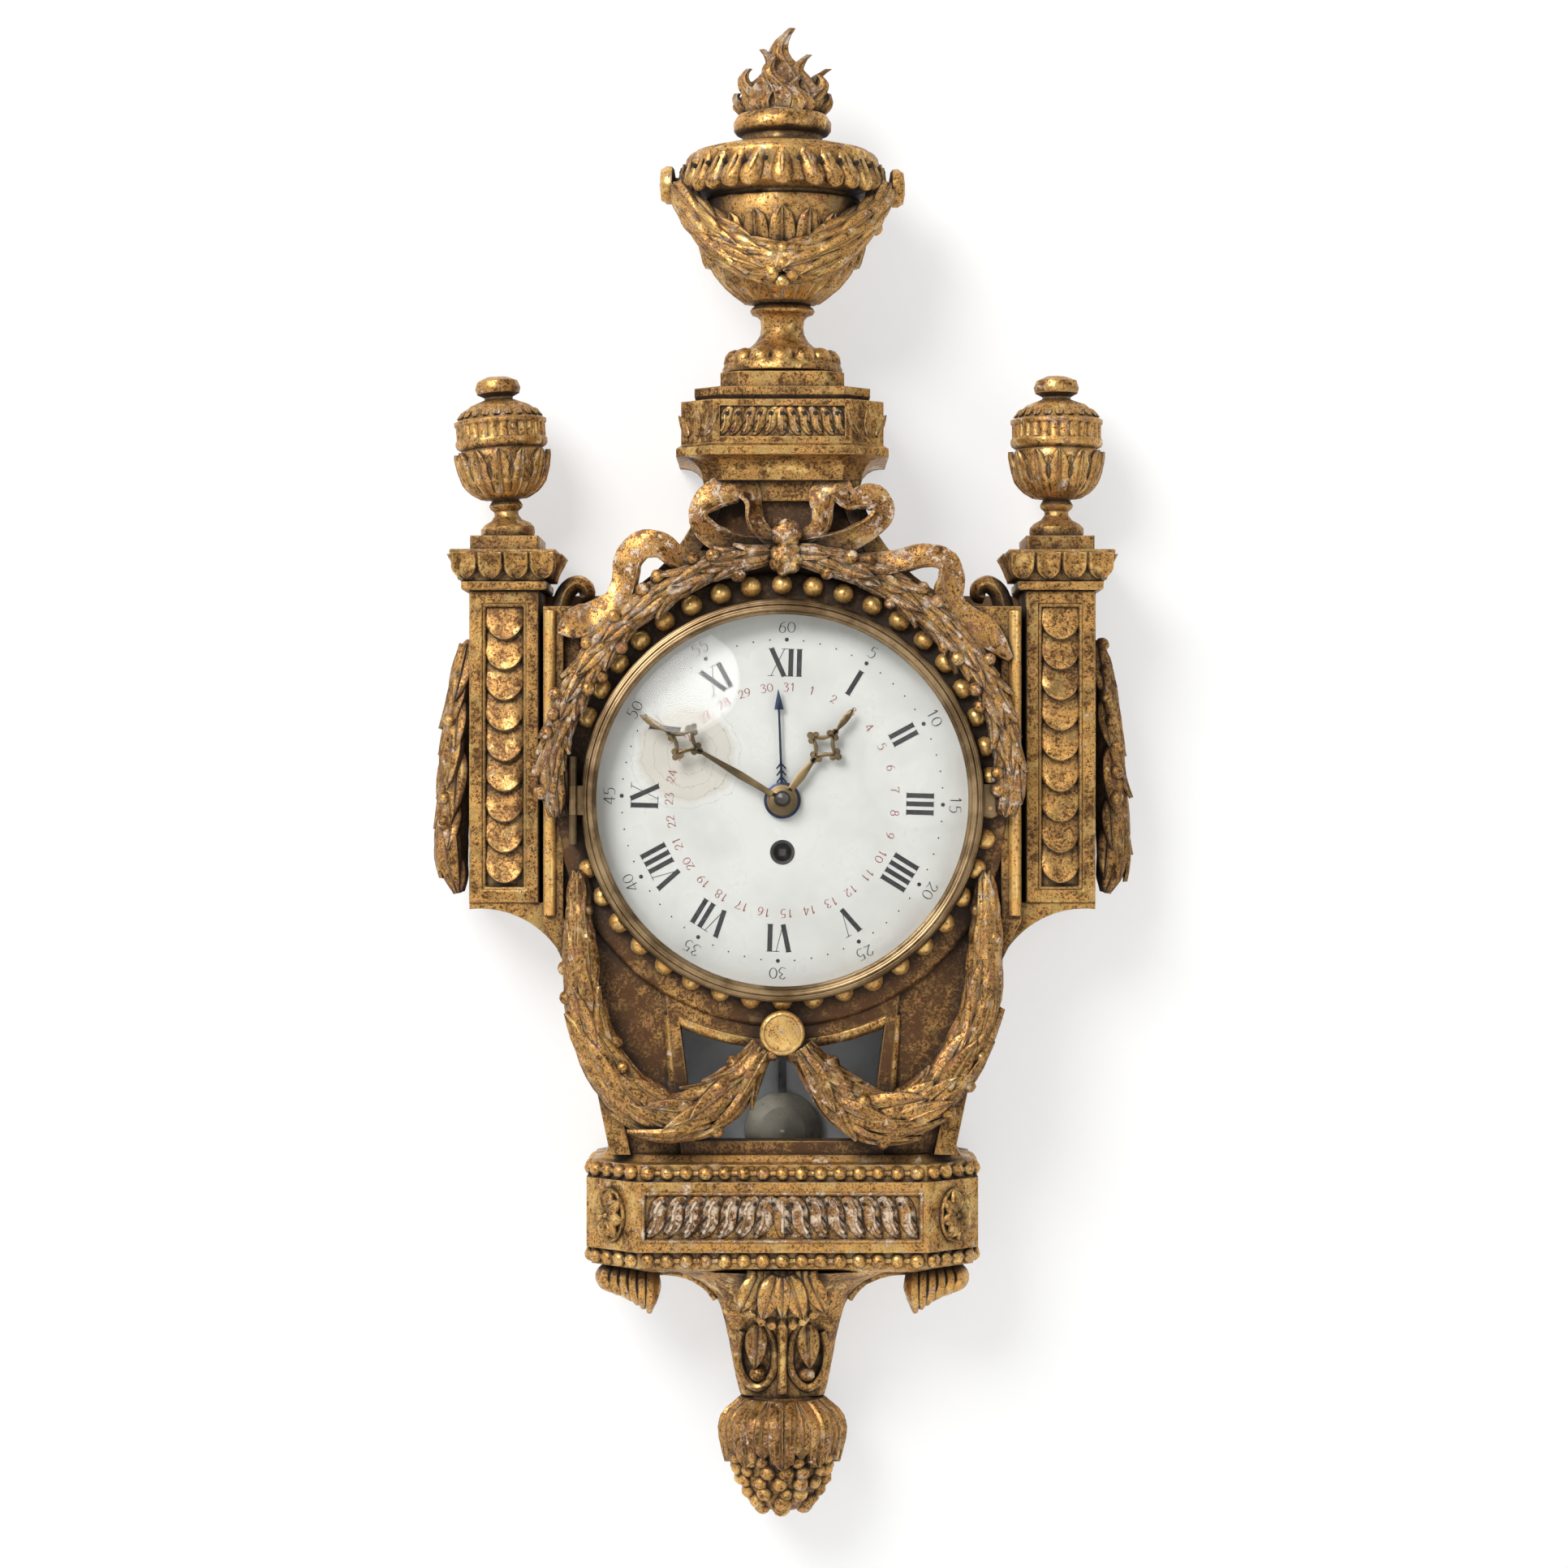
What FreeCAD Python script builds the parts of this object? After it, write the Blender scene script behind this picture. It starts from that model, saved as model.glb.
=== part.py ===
"""Carved giltwood cartel clock with a spring-driven pendulum movement.

Frame: the origin is where the dial's axis meets the wall, +Z is up and +X is to the right of
someone facing the dial. The clock stands out from the wall towards -Y, so places are written
as (x, z, depth), where depth is the distance from the wall. All sizes are millimetres.
"""
import FreeCAD
import Part
import math
import os

os.makedirs("parts", exist_ok=True)

# Driving sizes: the dial's bezel sets the front view, the case front sets the depths
BEZEL_R = 119.0
CASE_FRONT = 86.0            # depth of the carcass edge that shows beside the pilasters
GROW = BEZEL_R / 119.0       # the case is drawn round a bezel of 119 mm and grows with it
OUT = CASE_FRONT / 86.0      # depths are drawn for a case 86 mm deep

# Case: carcass, boards and panel
BACK_BOARD = 10.0            # thickness of the board against the wall
CASE_WALL = 12.0             # thickness of the carcass walls
CASE_HALF_WIDTH = 143.0 * GROW     # outside of the carcass beside the dial
PANEL_FRONT = CASE_FRONT - 6.0
PANEL_BACK = PANEL_FRONT - 14.0
SHOULDER_Z = 116.0 * GROW    # flat shoulders of the case
SHOULDER_END_X = 112.0 * GROW      # where the sweep up to the pedestal starts
SWEEP_MID = (66.0 * GROW, 147.0 * GROW)
NECK_HALF_WIDTH = 46.0 * GROW      # neck under the pedestal
NECK_START_Z = 186.0 * GROW
NECK_TOP_Z = 191.0 * GROW
HIP_Z = -72.0 * GROW         # lower end of the straight sides
WAIST = (124.0 * GROW, -111.0 * GROW)
FOOT_HALF_WIDTH = 103.0 * GROW     # width where the case meets the base
FOOT_Z = -212.0 * GROW
SEAT_GAP = 0.05              # glue line between pieces that sit inside one another

# Dial, seat ring, bezel and glass
DIAL_R = BEZEL_R - 6.0
DIAL_EDGE = PANEL_FRONT + 8.0      # depth of the dial's front at its rim
DIAL_CROWN = 3.5             # how far the enamel domes forward
DIAL_THICK = 2.0
DIAL_CENTRE_HOLE_R = 6.0
WINDING_HOLE_R = 6.4
APERTURE_R = DIAL_R - 8.0    # hole in the front panel
RING_LEDGE_R = DIAL_R - 5.0
RING_R = BEZEL_R + 0.6
RING_FRONT = DIAL_EDGE + 4.0
BEZEL_BACK = RING_FRONT + 0.6
BEZEL_HIGH = 15.4            # how far the bezel stands forward
BEZEL_FRONT = BEZEL_BACK + BEZEL_HIGH
BEZEL_WALL = 5.0
BEZEL_LAP = 3.5              # how far the bezel laps over the glass's rim
SIGHT_R = BEZEL_R - BEZEL_WALL - BEZEL_LAP      # visible opening of the bezel
GLASS_THICK = 2.1
GLASS_CROWN = 27.0           # rise of the domed glass
LIP = 2.4                    # thickness of the bezel lip in front of the glass
KNUCKLE_R = 2.4
HINGE_X = -BEZEL_R - KNUCKLE_R - 2.6
HINGE_DEPTH = BEZEL_FRONT - 2.0
HINGE_PIN_R = KNUCKLE_R / 2
HINGE_HALF = 26.0            # half the height of the hinge
HINGE_MIDDLE = HINGE_HALF / 3      # half the height of the moving knuckle
RUN = 0.05                   # radial clearance of a turning fit

# Beaded surround
SURROUND_IN = RING_R + 0.4
SURROUND_OUT = SURROUND_IN + 16.0
SURROUND_FRONT = PANEL_FRONT + 7.0
BEAD_R = 5.3
BEAD_RING_R = SURROUND_IN + 2.5
BEAD_RING_Z = 4.5            # the ring of beads sits a little high, so the bezel hides the lower ones
BEAD_COUNT = 44
BEAD_SINK = 0.5              # how far a bead's centre lies under the ring's face

# Pilasters, capitals and side urns
PILASTER_IN = CASE_HALF_WIDTH + 3.0
PILASTER_WIDTH = 42.0
PILASTER_TOP = 126.0 * GROW
PILASTER_FOOT = -61.5 * GROW
PILASTER_FRONT = CASE_FRONT - 8.0
RECESS_MARGIN = 8.5
RECESS_DEEP = 5.0
RECESS_END = 11.0            # plain wood above and below the recess
SCALE_COUNT = 9
SCALE_TOP = 0.8              # thickness of a scale at its upper edge
SCALE_LIP = RECESS_DEEP - 0.8      # thickness of a scale at its lower lip
CAPITAL_NECK = 3.5           # how far each part of the capital stands past the pilaster
CAPITAL_ABACUS = 11.0
CAPITAL_BAND = 8.0           # heights of the capital's parts
CAPITAL_OVOLO = 12.0
CAPITAL_SLAB = 4.0
BLOCK_IN = 0.5               # the block under the urn is set in from the pilaster
BLOCK_HIGH = 9.0
SIDE_URN_HIGH = 97.0
SIDE_URN_R = 28.0
SIDE_URN_FOOT_R = 16.5
SIDE_URN_LEAVES = 12
LEFT_URN_LEAN = 4.0          # degrees: the left urn leans on its dowel

# Pedestal and the great urn
PEDESTAL_HALF = NECK_HALF_WIDTH + 14.5
PEDESTAL_FACE = PEDESTAL_HALF - 19.5    # half width of the front face between the canted corners
PEDESTAL_FRONT = CASE_FRONT + 20.0
PEDESTAL_COVE = 14.0         # heights of the pedestal's parts
PEDESTAL_MOULD = 7.0
FRIEZE_HIGH = 26.0
FRIEZE_CUT = 2.0             # sunk frieze panel
PLATE_HIGH = 8.0
PLATE_HALF = PEDESTAL_HALF - 8.0
STEP_HIGH = 9.6
STEP_HALF = PLATE_HALF - 15.5
URN_BAND_R = 57.5
URN_DEPTH = URN_BAND_R + 2.5       # urn axis from the wall
URN_FOOT_HIGH = 43.0         # heights of the urn's turned parts
BOWL_HIGH = 66.5
URN_BAND_HIGH = 23.5
COVER_HIGH = 25.0
URN_RIBS = 16                # long ribs round the lower bowl
KNOB_R = 11.5
KNOB_THICK = 8.0
KNOB_REACH = URN_BAND_R + 16.5     # outer face of the knobs from the urn's axis
FLAME_HIGH = 51.5
FLAME_R = 27.0

# Base, console and pendant
BASE_HALF = FOOT_HALF_WIDTH + 15.0
BASE_FACE = BASE_HALF - 31.0
BASE_FRONT = CASE_FRONT + 14.0
BASE_CROWN = 15.0            # mouldings over and under the band
BASE_SKIRT = 14.0
BASE_BAND = 42.0             # height of the plain band between the bead rows
PLINTH_BEAD_R = 4.3
PLINTH_BEAD_PITCH = 13.6
CAVITY_HALF = 64.0 * GROW    # room for the pendulum in the base
CAVITY_FRONT = PANEL_BACK - 6.0
CAVITY_DEEP = 46.0 * GROW
CONSOLE_HIGH = 80.0
CONSOLE_NECK_HALF = 25.5
PENDANT_R = 36.0
PENDANT_HIGH = 72.0
PENDANT_DEPTH = PENDANT_R + 2.0
PENDANT_LEAVES = 8

# Pendulum window and festoons
WINDOW_TOP_HALF = 62.0 * GROW
WINDOW_FOOT_HALF = WINDOW_TOP_HALF - 9.5
WINDOW_FOOT_Z = FOOT_Z + 8.0
WINDOW_ARC_R = SURROUND_OUT + 7.0
WINDOW_FRAME = 8.0
WINDOW_FRAME_PROUD = 4.0
PANE_THICK = 2.5
PANE_LAP = 5.0
BUTTON_R = 13.0
BUTTON_Z = -SURROUND_OUT - 2.5

# Movement: a closed drum between two plates
PLATE_R = 55.0
PLATE_THICK = 3.0
BACK_PLATE = BACK_BOARD + 16.0     # depth of the back plate's rear face
FRONT_PLATE = PANEL_BACK     # depth of the front plate's rear face
DRUM_R = PLATE_R - 13.0
STRAP_THICK = 3.0            # straps from the front plate to the panel
STRAP_WIDTH = 14.0
BARREL_Z = 24.0 - PLATE_R    # winding arbor
WINDING_R = 3.4
WINDING_SQUARE = 4.2
ARBOR_R = 2.0                # centre arbor of the minute hand
HOUR_PIPE_R = ARBOR_R + 1.2
DATE_PIPE_R = HOUR_PIPE_R + 1.2
HOUR_WHEEL = (FRONT_PLATE + 6.0, FRONT_PLATE + 8.0, 17.0)    # back, front and radius
DATE_WHEEL = (FRONT_PLATE + 14.0, FRONT_PLATE + 15.2, 24.0)
DATE_HAND = (DIAL_EDGE + 6.0, DIAL_EDGE + 7.0)     # back and front of each hand
HOUR_HAND = (DIAL_EDGE + 8.5, DIAL_EDGE + 9.7)
MINUTE_HAND = (DIAL_EDGE + 11.5, DIAL_EDGE + 12.7)
DATE_HAND_SHORT_BY = 47.0    # how far each hand stops short of the dial's rim
HOUR_HAND_SHORT_BY = 45.0
MINUTE_HAND_SHORT_BY = 15.0
DATE_HAND_LONG = DIAL_R - DATE_HAND_SHORT_BY
HOUR_HAND_LONG = DIAL_R - HOUR_HAND_SHORT_BY
MINUTE_HAND_LONG = DIAL_R - MINUTE_HAND_SHORT_BY
HOUR_FRAME = (43.0, 17.0)    # inner and outer corner of a hand's open frame, back from its tip
MINUTE_FRAME = (41.0, 18.0)
HOUR_HUB_R = 9.2
MINUTE_HUB_R = 7.5
HOUR_STEM = 3.4              # half the width of a hand's stem at the hub
MINUTE_STEM = 3.0
DATE_HAND_TURN = -2.1        # degrees clockwise from twelve, as the hands stand at rest
HOUR_HAND_TURN = 37.8
MINUTE_HAND_TURN = 300.9

# Pendulum with its crutch
ANCHOR_Z = PLATE_R - 10.0    # swinging axis
COCK_BACK = BACK_PLATE - 7.0       # bridge behind the back plate that carries pivot and pendulum
COCK_FRONT = COCK_BACK + 2.5
COCK_HALF = 20.0
COCK_HIGH = 10.0
STUD_R = 1.6
PENDULUM_LONG = ANCHOR_Z - FOOT_Z - 8.5    # half-second pendulum, axis to bob
PENDULUM_DEPTH = COCK_BACK - 3.5
ROD_WIDTH = 5.0
ROD_THICK = 2.0
BOB_R = 23.5
BOB_THICK = 9.0
NUT_R = 5.0
NUT_THICK = 5.0
CRUTCH_END_Z = ANCHOR_Z - 53.0
FORK_GAP = 0.3

V = FreeCAD.Vector
FORWARD = V(0, -1, 0)
UP = V(0, 0, 1)


# Shared shape helpers
def at(x, z, depth):
    return V(x, -depth, z)


def face_of(steps, place):
    """A flat face. A step is a point, or (middle, end) for an arc; place puts a point in space."""
    edges = []
    here = steps[0]
    for step in steps[1:] + [steps[0]]:
        if isinstance(step[0], tuple):
            middle, end = step
            edges.append(Part.Arc(place(here), place(middle), place(end)).toShape())
        else:
            end = step
            if math.dist(here, end) > 1e-6:
                edges.append(Part.LineSegment(place(here), place(end)).toShape())
        here = end
    return Part.Face(Part.Wire(edges))


def flat_face(steps, depth):
    return face_of(steps, lambda p: at(p[0], p[1], depth))


def prism(steps, back, front):
    """An outline in x and z, drawn out from depth back to depth front."""
    return flat_face(steps, back).extrude(V(0, back - front, 0))


def thicken(face, front):
    """A flat face drawn out to depth front."""
    return face.extrude(V(0, -front - face.BoundBox.YMax, 0))


def box(x0, x1, z0, z1, back, front):
    return Part.makeBox(x1 - x0, front - back, z1 - z0, V(x0, -front, z0))


def rod(x, z, r, back, front):
    """A round bar along the depth."""
    return Part.makeCylinder(r, front - back, at(x, z, back), FORWARD)


def turned(steps, x, depth, z):
    """A profile of (radius, height) turned about an upright axis that starts at height z."""
    axis = at(x, z, depth)
    face = face_of(steps, lambda p: V(x + p[0], -depth, z + p[1]))
    return face.revolve(axis, UP, 360)


def lathe(steps, x=0.0, z=0.0):
    """A profile of (radius, depth) turned about an axis that runs straight out from the wall."""
    face = face_of(steps, lambda p: V(x + p[0], -p[1], z))
    return face.revolve(at(x, z, 0), FORWARD, 360)


def dome(r, edge, crown):
    """Step of a profile: an arc from radius r at edge to the axis, where it has risen by crown."""
    ball = (r * r + crown * crown) / (2 * crown)
    half = r / 2
    rise = math.copysign(math.sqrt(ball * ball - half * half), crown)
    return ((half, edge + crown - ball + rise), (0, edge + crown))


def hollow_dome(r, edge, crown):
    """The same arc walked from the axis out to radius r."""
    return (dome(r, edge, crown)[0], (r, edge))


def mirrored(shape):
    return shape.mirror(V(0, 0, 0), V(1, 0, 0))


def fused(shapes):
    return shapes[0].multiFuse(shapes[1:]).removeSplitter() if len(shapes) > 1 else shapes[0]


def layered(plan, profile):
    """Stacked mouldings: plan(offset) is a list of (x, depth) corners, profile a list of (z, offset)."""
    layers = []
    for (z0, out0), (z1, out1) in zip(profile, profile[1:]):
        if z1 - z0 < 1e-6:
            continue
        wires = []
        for z, out in ((z0, out0), (z1, out1)):
            corners = [at(x, z, depth) for x, depth in plan(out)]
            wires.append(Part.makePolygon(corners + corners[:1]))
        layers.append(Part.makeLoft(wires, True, True))
    return fused(layers)


def canted_plan(half, face, front):
    """Plan with its back on the wall and 45 degree corners; an offset moves every shown side out."""
    def corners(out):
        side, flat = half + out, face + out * math.tan(math.radians(22.5))
        nose = front + out
        bend = nose - (side - flat)
        return [(-side, 0), (side, 0), (side, bend), (flat, nose), (-flat, nose), (-side, bend)]
    return corners


def quarter(z0, out0, z1, out1, hollow, count=5):
    """Profile points of a quarter-round moulding, hollow or bulging."""
    points = []
    for k in range(count + 1):
        turn = math.radians(90 * k / count)
        up, out = (math.sin(turn), 1 - math.cos(turn)) if hollow else (1 - math.cos(turn), math.sin(turn))
        points.append((z0 + (z1 - z0) * up, out0 + (out1 - out0) * out))
    return points


def frames(points, refs):
    """Local axes at each point of a path: across follows refs as far as it can."""
    axes = []
    for k, p in enumerate(points):
        along = points[min(k + 1, len(points) - 1)] - points[max(k - 1, 0)]
        along.normalize()
        across = refs[k] - along * refs[k].dot(along)
        across.normalize()
        axes.append((p, across, along.cross(across)))
    return axes


def limb(points, radii, refs=None):
    """A swelling and tapering branch through points, carved in eight facets."""
    wires = []
    for (p, across, side), r in zip(frames(points, refs or [FORWARD] * len(points)), radii):
        corners = []
        for k in range(8):
            a = math.radians(45 * k + 22.5)
            corners.append(p + (across * math.cos(a) + side * math.sin(a)) * r)
        wires.append(Part.makePolygon(corners + corners[:1]))
    return Part.makeLoft(wires, True, True)


def strip(points, refs, width, thick):
    """A flat ribbon through points; refs give the direction of its width."""
    wires = []
    for p, across, side in frames(points, refs):
        w, t = across * (width / 2), side * (thick / 2)
        corners = [p - w - t, p + w - t, p + w + t, p - w + t]
        wires.append(Part.makePolygon(corners + corners[:1]))
    return Part.makeLoft(wires, True, True)


def bead(centre, out, r):
    """A carved bead: a five-sided button that stands along out from its centre."""
    out = V(out).normalize()
    across = out.cross(UP if abs(out.z) < 0.9 else V(1, 0, 0)).normalize()
    side = out.cross(across)
    wires = []
    for lift, share in ((-0.3, 1.0), (0.35, 1.0), (1.0, 0.45)):
        ring = []
        for k in range(5):
            a = math.radians(72 * k + 18)
            spoke = across * math.cos(a) + side * math.sin(a)
            ring.append(centre + out * (lift * r) + spoke * (share * r))
        wires.append(Part.makePolygon(ring + ring[:1]))
    return Part.makeLoft(wires, True, True)


def ribbed(steps, ribs, x, depth, z):
    """An upright form carved in ribs: each step is (radius, height, cut), cut being the ribs' depth."""
    wires = []
    for r, high, cut in steps:
        corners = []
        for k in range(2 * ribs):
            a = math.pi * (k + 0.5) / ribs
            reach = r - cut * (k % 2)
            corners.append(at(x + reach * math.cos(a), z + high, depth + reach * math.sin(a)))
        wires.append(Part.makePolygon(corners + corners[:1]))
    return Part.makeLoft(wires, True, True)


def grown(path):
    """A path of points and arcs drawn for the standard bezel, scaled to the bezel's size."""
    if isinstance(path, (tuple, list)):
        return type(path)(grown(part) for part in path)
    return path * GROW


def save(name, *shapes):
    """Writes one named piece, or a group of like pieces, to its own file."""
    solids = [solid for shape in shapes for solid in shape.Solids]
    shape = solids[0] if len(solids) == 1 else Part.makeCompound(solids)
    shape.exportStep(f"parts/{name}.step")
    return shape


# Carcass, back board and front panel
PILASTER_OUT = PILASTER_IN + PILASTER_WIDTH


def case_outline(foot):
    """Outline of the case, carried down its slanting sides to height foot."""
    slope = (FOOT_HALF_WIDTH - WAIST[0]) / (FOOT_Z - WAIST[1])
    foot_half = FOOT_HALF_WIDTH + slope * (foot - FOOT_Z)
    right = [(foot_half, foot), WAIST, (CASE_HALF_WIDTH, HIP_Z), (CASE_HALF_WIDTH, SHOULDER_Z),
             (SHOULDER_END_X, SHOULDER_Z), (SWEEP_MID, (NECK_HALF_WIDTH, NECK_START_Z)),
             (NECK_HALF_WIDTH, NECK_TOP_Z)]
    left = [(-NECK_HALF_WIDTH, NECK_TOP_Z), (-NECK_HALF_WIDTH, NECK_START_Z),
            ((-SWEEP_MID[0], SWEEP_MID[1]), (-SHOULDER_END_X, SHOULDER_Z)),
            (-CASE_HALF_WIDTH, SHOULDER_Z), (-CASE_HALF_WIDTH, HIP_Z), (-WAIST[0], WAIST[1]),
            (-foot_half, foot)]
    return right + left


def below(z):
    """Everything lower than z, to cut a piece off level."""
    far = 4 * CASE_HALF_WIDTH
    return box(-far, far, z - far, z, -far, far)


def case_inside(depth, gap):
    """The outline inside the carcass walls, open at the foot."""
    wall = CASE_WALL + gap
    whole = flat_face(case_outline(FOOT_Z - CASE_WALL), depth)
    return whole.makeOffset2D(-wall)


def bracket_outline(lap):
    """Curved board under a pilaster, on the right; lap carries it into the boards that it is one with."""
    t = 0.56
    end = (CASE_HALF_WIDTH + t * (WAIST[0] - CASE_HALF_WIDTH), HIP_Z + t * (WAIST[1] - HIP_Z))
    edge_z = PILASTER_FOOT - 4.0
    middle = (CASE_HALF_WIDTH + 9.0, edge_z - 8.0)
    inner, top = CASE_HALF_WIDTH - lap, PILASTER_FOOT + lap
    return [(inner, top), (PILASTER_OUT, top), (PILASTER_OUT, edge_z), (middle, end), (inner, HIP_Z)]


def make_back_board():
    wing = box(-PILASTER_OUT, PILASTER_OUT, PILASTER_FOOT, PILASTER_TOP, 0, BACK_BOARD)
    curve = prism(bracket_outline(CASE_WALL), 0, BACK_BOARD)
    board = fused([prism(case_outline(FOOT_Z), 0, BACK_BOARD), wing, curve, mirrored(curve)])
    return board


def make_carcass():
    outer = prism(case_outline(FOOT_Z - CASE_WALL), BACK_BOARD, CASE_FRONT)
    inner = thicken(case_inside(BACK_BOARD, 0), CASE_FRONT)
    return outer.cut(inner).cut(below(FOOT_Z))


def window_outline(grow):
    """Pendulum window, with the arch that follows the dial; grow widens it all round."""
    arc = WINDOW_ARC_R - grow
    top, foot = WINDOW_TOP_HALF + grow, WINDOW_FOOT_HALF + grow
    top_z = -math.sqrt(arc * arc - top * top)
    foot_z = WINDOW_FOOT_Z - grow
    return [(-foot, foot_z), (foot, foot_z), (top, top_z), ((0, -arc), (-top, top_z))]


def make_front_panel():
    board = thicken(case_inside(PANEL_BACK, SEAT_GAP), PANEL_FRONT).cut(below(FOOT_Z))
    proud = PANEL_FRONT + WINDOW_FRAME_PROUD
    frame = prism(window_outline(WINDOW_FRAME), PANEL_FRONT, proud)
    panel = fused([board, frame])
    panel = panel.cut(prism(window_outline(0), PANEL_BACK - 1, proud + 1))
    return panel.cut(rod(0, 0, APERTURE_R, PANEL_BACK - 1, PANEL_FRONT + 1))


def make_bracket():
    return prism(bracket_outline(0.0), BACK_BOARD, PILASTER_FRONT - 2.0)


# Beaded surround of the dial
BEAD_FRONT = SURROUND_FRONT - BEAD_SINK + BEAD_R


def make_surround():
    ring = lathe([(SURROUND_IN, PANEL_FRONT), (SURROUND_OUT, PANEL_FRONT),
                  (SURROUND_OUT, SURROUND_FRONT - 3), (SURROUND_OUT - 3, SURROUND_FRONT),
                  (SURROUND_IN, SURROUND_FRONT)])
    hinge_room = math.degrees(math.asin((HINGE_HALF + BEAD_RING_Z + BEAD_R) / BEAD_RING_R))
    beads = []
    for k in range(BEAD_COUNT):
        turn = 360.0 * (k + 0.5) / BEAD_COUNT
        if abs(turn - 180) < hinge_room:
            continue
        a = math.radians(turn)
        x, z = BEAD_RING_R * math.cos(a), BEAD_RING_Z + BEAD_RING_R * math.sin(a)
        centre = at(x, z, SURROUND_FRONT - BEAD_SINK)
        beads.append(bead(centre, FORWARD, BEAD_R))
    inside = rod(0, 0, RING_R + SEAT_GAP, PANEL_FRONT - 1, SURROUND_FRONT + BEAD_R + 1)
    return ring.multiFuse(beads).cut(inside)


# Pilasters with their carved scales, capitals and urns
def make_pilaster():
    body = box(PILASTER_IN, PILASTER_OUT, PILASTER_FOOT, PILASTER_TOP, BACK_BOARD, PILASTER_FRONT)
    x0, x1 = PILASTER_IN + RECESS_MARGIN, PILASTER_OUT - RECESS_MARGIN
    z0, z1 = PILASTER_FOOT + RECESS_END, PILASTER_TOP - RECESS_END
    floor = PILASTER_FRONT - RECESS_DEEP
    body = body.cut(box(x0, x1, z0, z1, floor, PILASTER_FRONT + 1))
    room = box(x0, x1, z0, z1, floor - 1, PILASTER_FRONT + 1)
    pitch = (z1 - z0) / SCALE_COUNT
    r = (x1 - x0) / 2
    mid = (x0 + x1) / 2
    scales = []
    for k in range(SCALE_COUNT):
        lip = z0 + k * pitch + 1.5
        side = [(floor - 0.5, lip), (floor + SCALE_LIP, lip), (floor + SCALE_TOP, lip + 2 * r),
                (floor - 0.5, lip + 2 * r)]
        wedge = face_of(side, lambda p: at(x0, p[1], p[0])).extrude(V(x1 - x0, 0, 0))
        corners = []
        for turn in range(180, 361, 36):
            a = math.radians(turn)
            corners.append((mid + r * math.cos(a), lip + r + r * math.sin(a)))
        disc = prism(corners + [(x1, z1 + r), (x0, z1 + r)], floor - 1, PILASTER_FRONT + 1)
        scales.append(wedge.common(disc).common(room))
    return fused([body] + scales)


def square_plan(x0, x1, front):
    return lambda out: [(x0 - out, BACK_BOARD), (x1 + out, BACK_BOARD), (x1 + out, front + out),
                        (x0 - out, front + out)]


CAPITAL_TOP = PILASTER_TOP + CAPITAL_BAND + CAPITAL_OVOLO + CAPITAL_SLAB
BLOCK_TOP = CAPITAL_TOP + BLOCK_HIGH
PILASTER_MID = PILASTER_IN + PILASTER_WIDTH / 2
PILASTER_DEPTH = (BACK_BOARD + PILASTER_FRONT) / 2


def make_capital():
    z = PILASTER_TOP
    band = z + CAPITAL_BAND
    profile = [(z, CAPITAL_NECK), (band, CAPITAL_NECK)]
    profile += quarter(band, CAPITAL_NECK, band + CAPITAL_OVOLO, CAPITAL_ABACUS, hollow=False)
    profile += [(CAPITAL_TOP, CAPITAL_ABACUS)]
    plan = square_plan(PILASTER_IN, PILASTER_OUT, PILASTER_FRONT)
    block = layered(plan, [(CAPITAL_TOP, -BLOCK_IN), (BLOCK_TOP, -BLOCK_IN)])
    return fused([layered(plan, profile), block])


def make_side_urn(x, lean):
    """Covered urn with upright leaves round its bowl; a leaning urn has its foot cut level on the block."""
    r, foot, h = SIDE_URN_R, SIDE_URN_FOOT_R, SIDE_URN_HIGH
    stem = foot * 0.46
    under = foot * math.sin(math.radians(lean)) + 1.0
    leaf = r * 0.07
    steps = [(foot - 1, -under, 0), (foot, 0.04 * h, 0), (foot * 0.85, 0.095 * h, 0), (stem, 0.15 * h, 0),
             (stem * 1.35, 0.205 * h, 0), (stem * 1.1, 0.24 * h, 0), (r * 0.62, 0.29 * h, leaf),
             (r * 0.84, 0.39 * h, leaf), (r * 0.95, 0.53 * h, leaf), (r * 0.89, 0.565 * h, 0),
             (r, 0.585 * h, leaf), (r, 0.74 * h, leaf), (r * 0.84, 0.755 * h, 0),
             (r * 0.66, 0.82 * h, leaf), (r * 0.30, 0.87 * h, 0), (r * 0.48, 0.91 * h, 0),
             (r * 0.40, 0.96 * h, 0), (r * 0.10, h, 0)]
    urn = ribbed(steps, SIDE_URN_LEAVES, x, PILASTER_DEPTH, BLOCK_TOP)
    urn.rotate(at(x, BLOCK_TOP, PILASTER_DEPTH), FORWARD, lean)
    return urn.cut(below(BLOCK_TOP))


# Pedestal over the dial
COVE_TOP = NECK_TOP_Z + PEDESTAL_COVE
FRIEZE_FOOT = COVE_TOP + PEDESTAL_MOULD
FRIEZE_TOP = FRIEZE_FOOT + FRIEZE_HIGH
PLATE_TOP = FRIEZE_TOP + PLATE_HIGH
PEDESTAL_TOP = PLATE_TOP + STEP_HIGH


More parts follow.
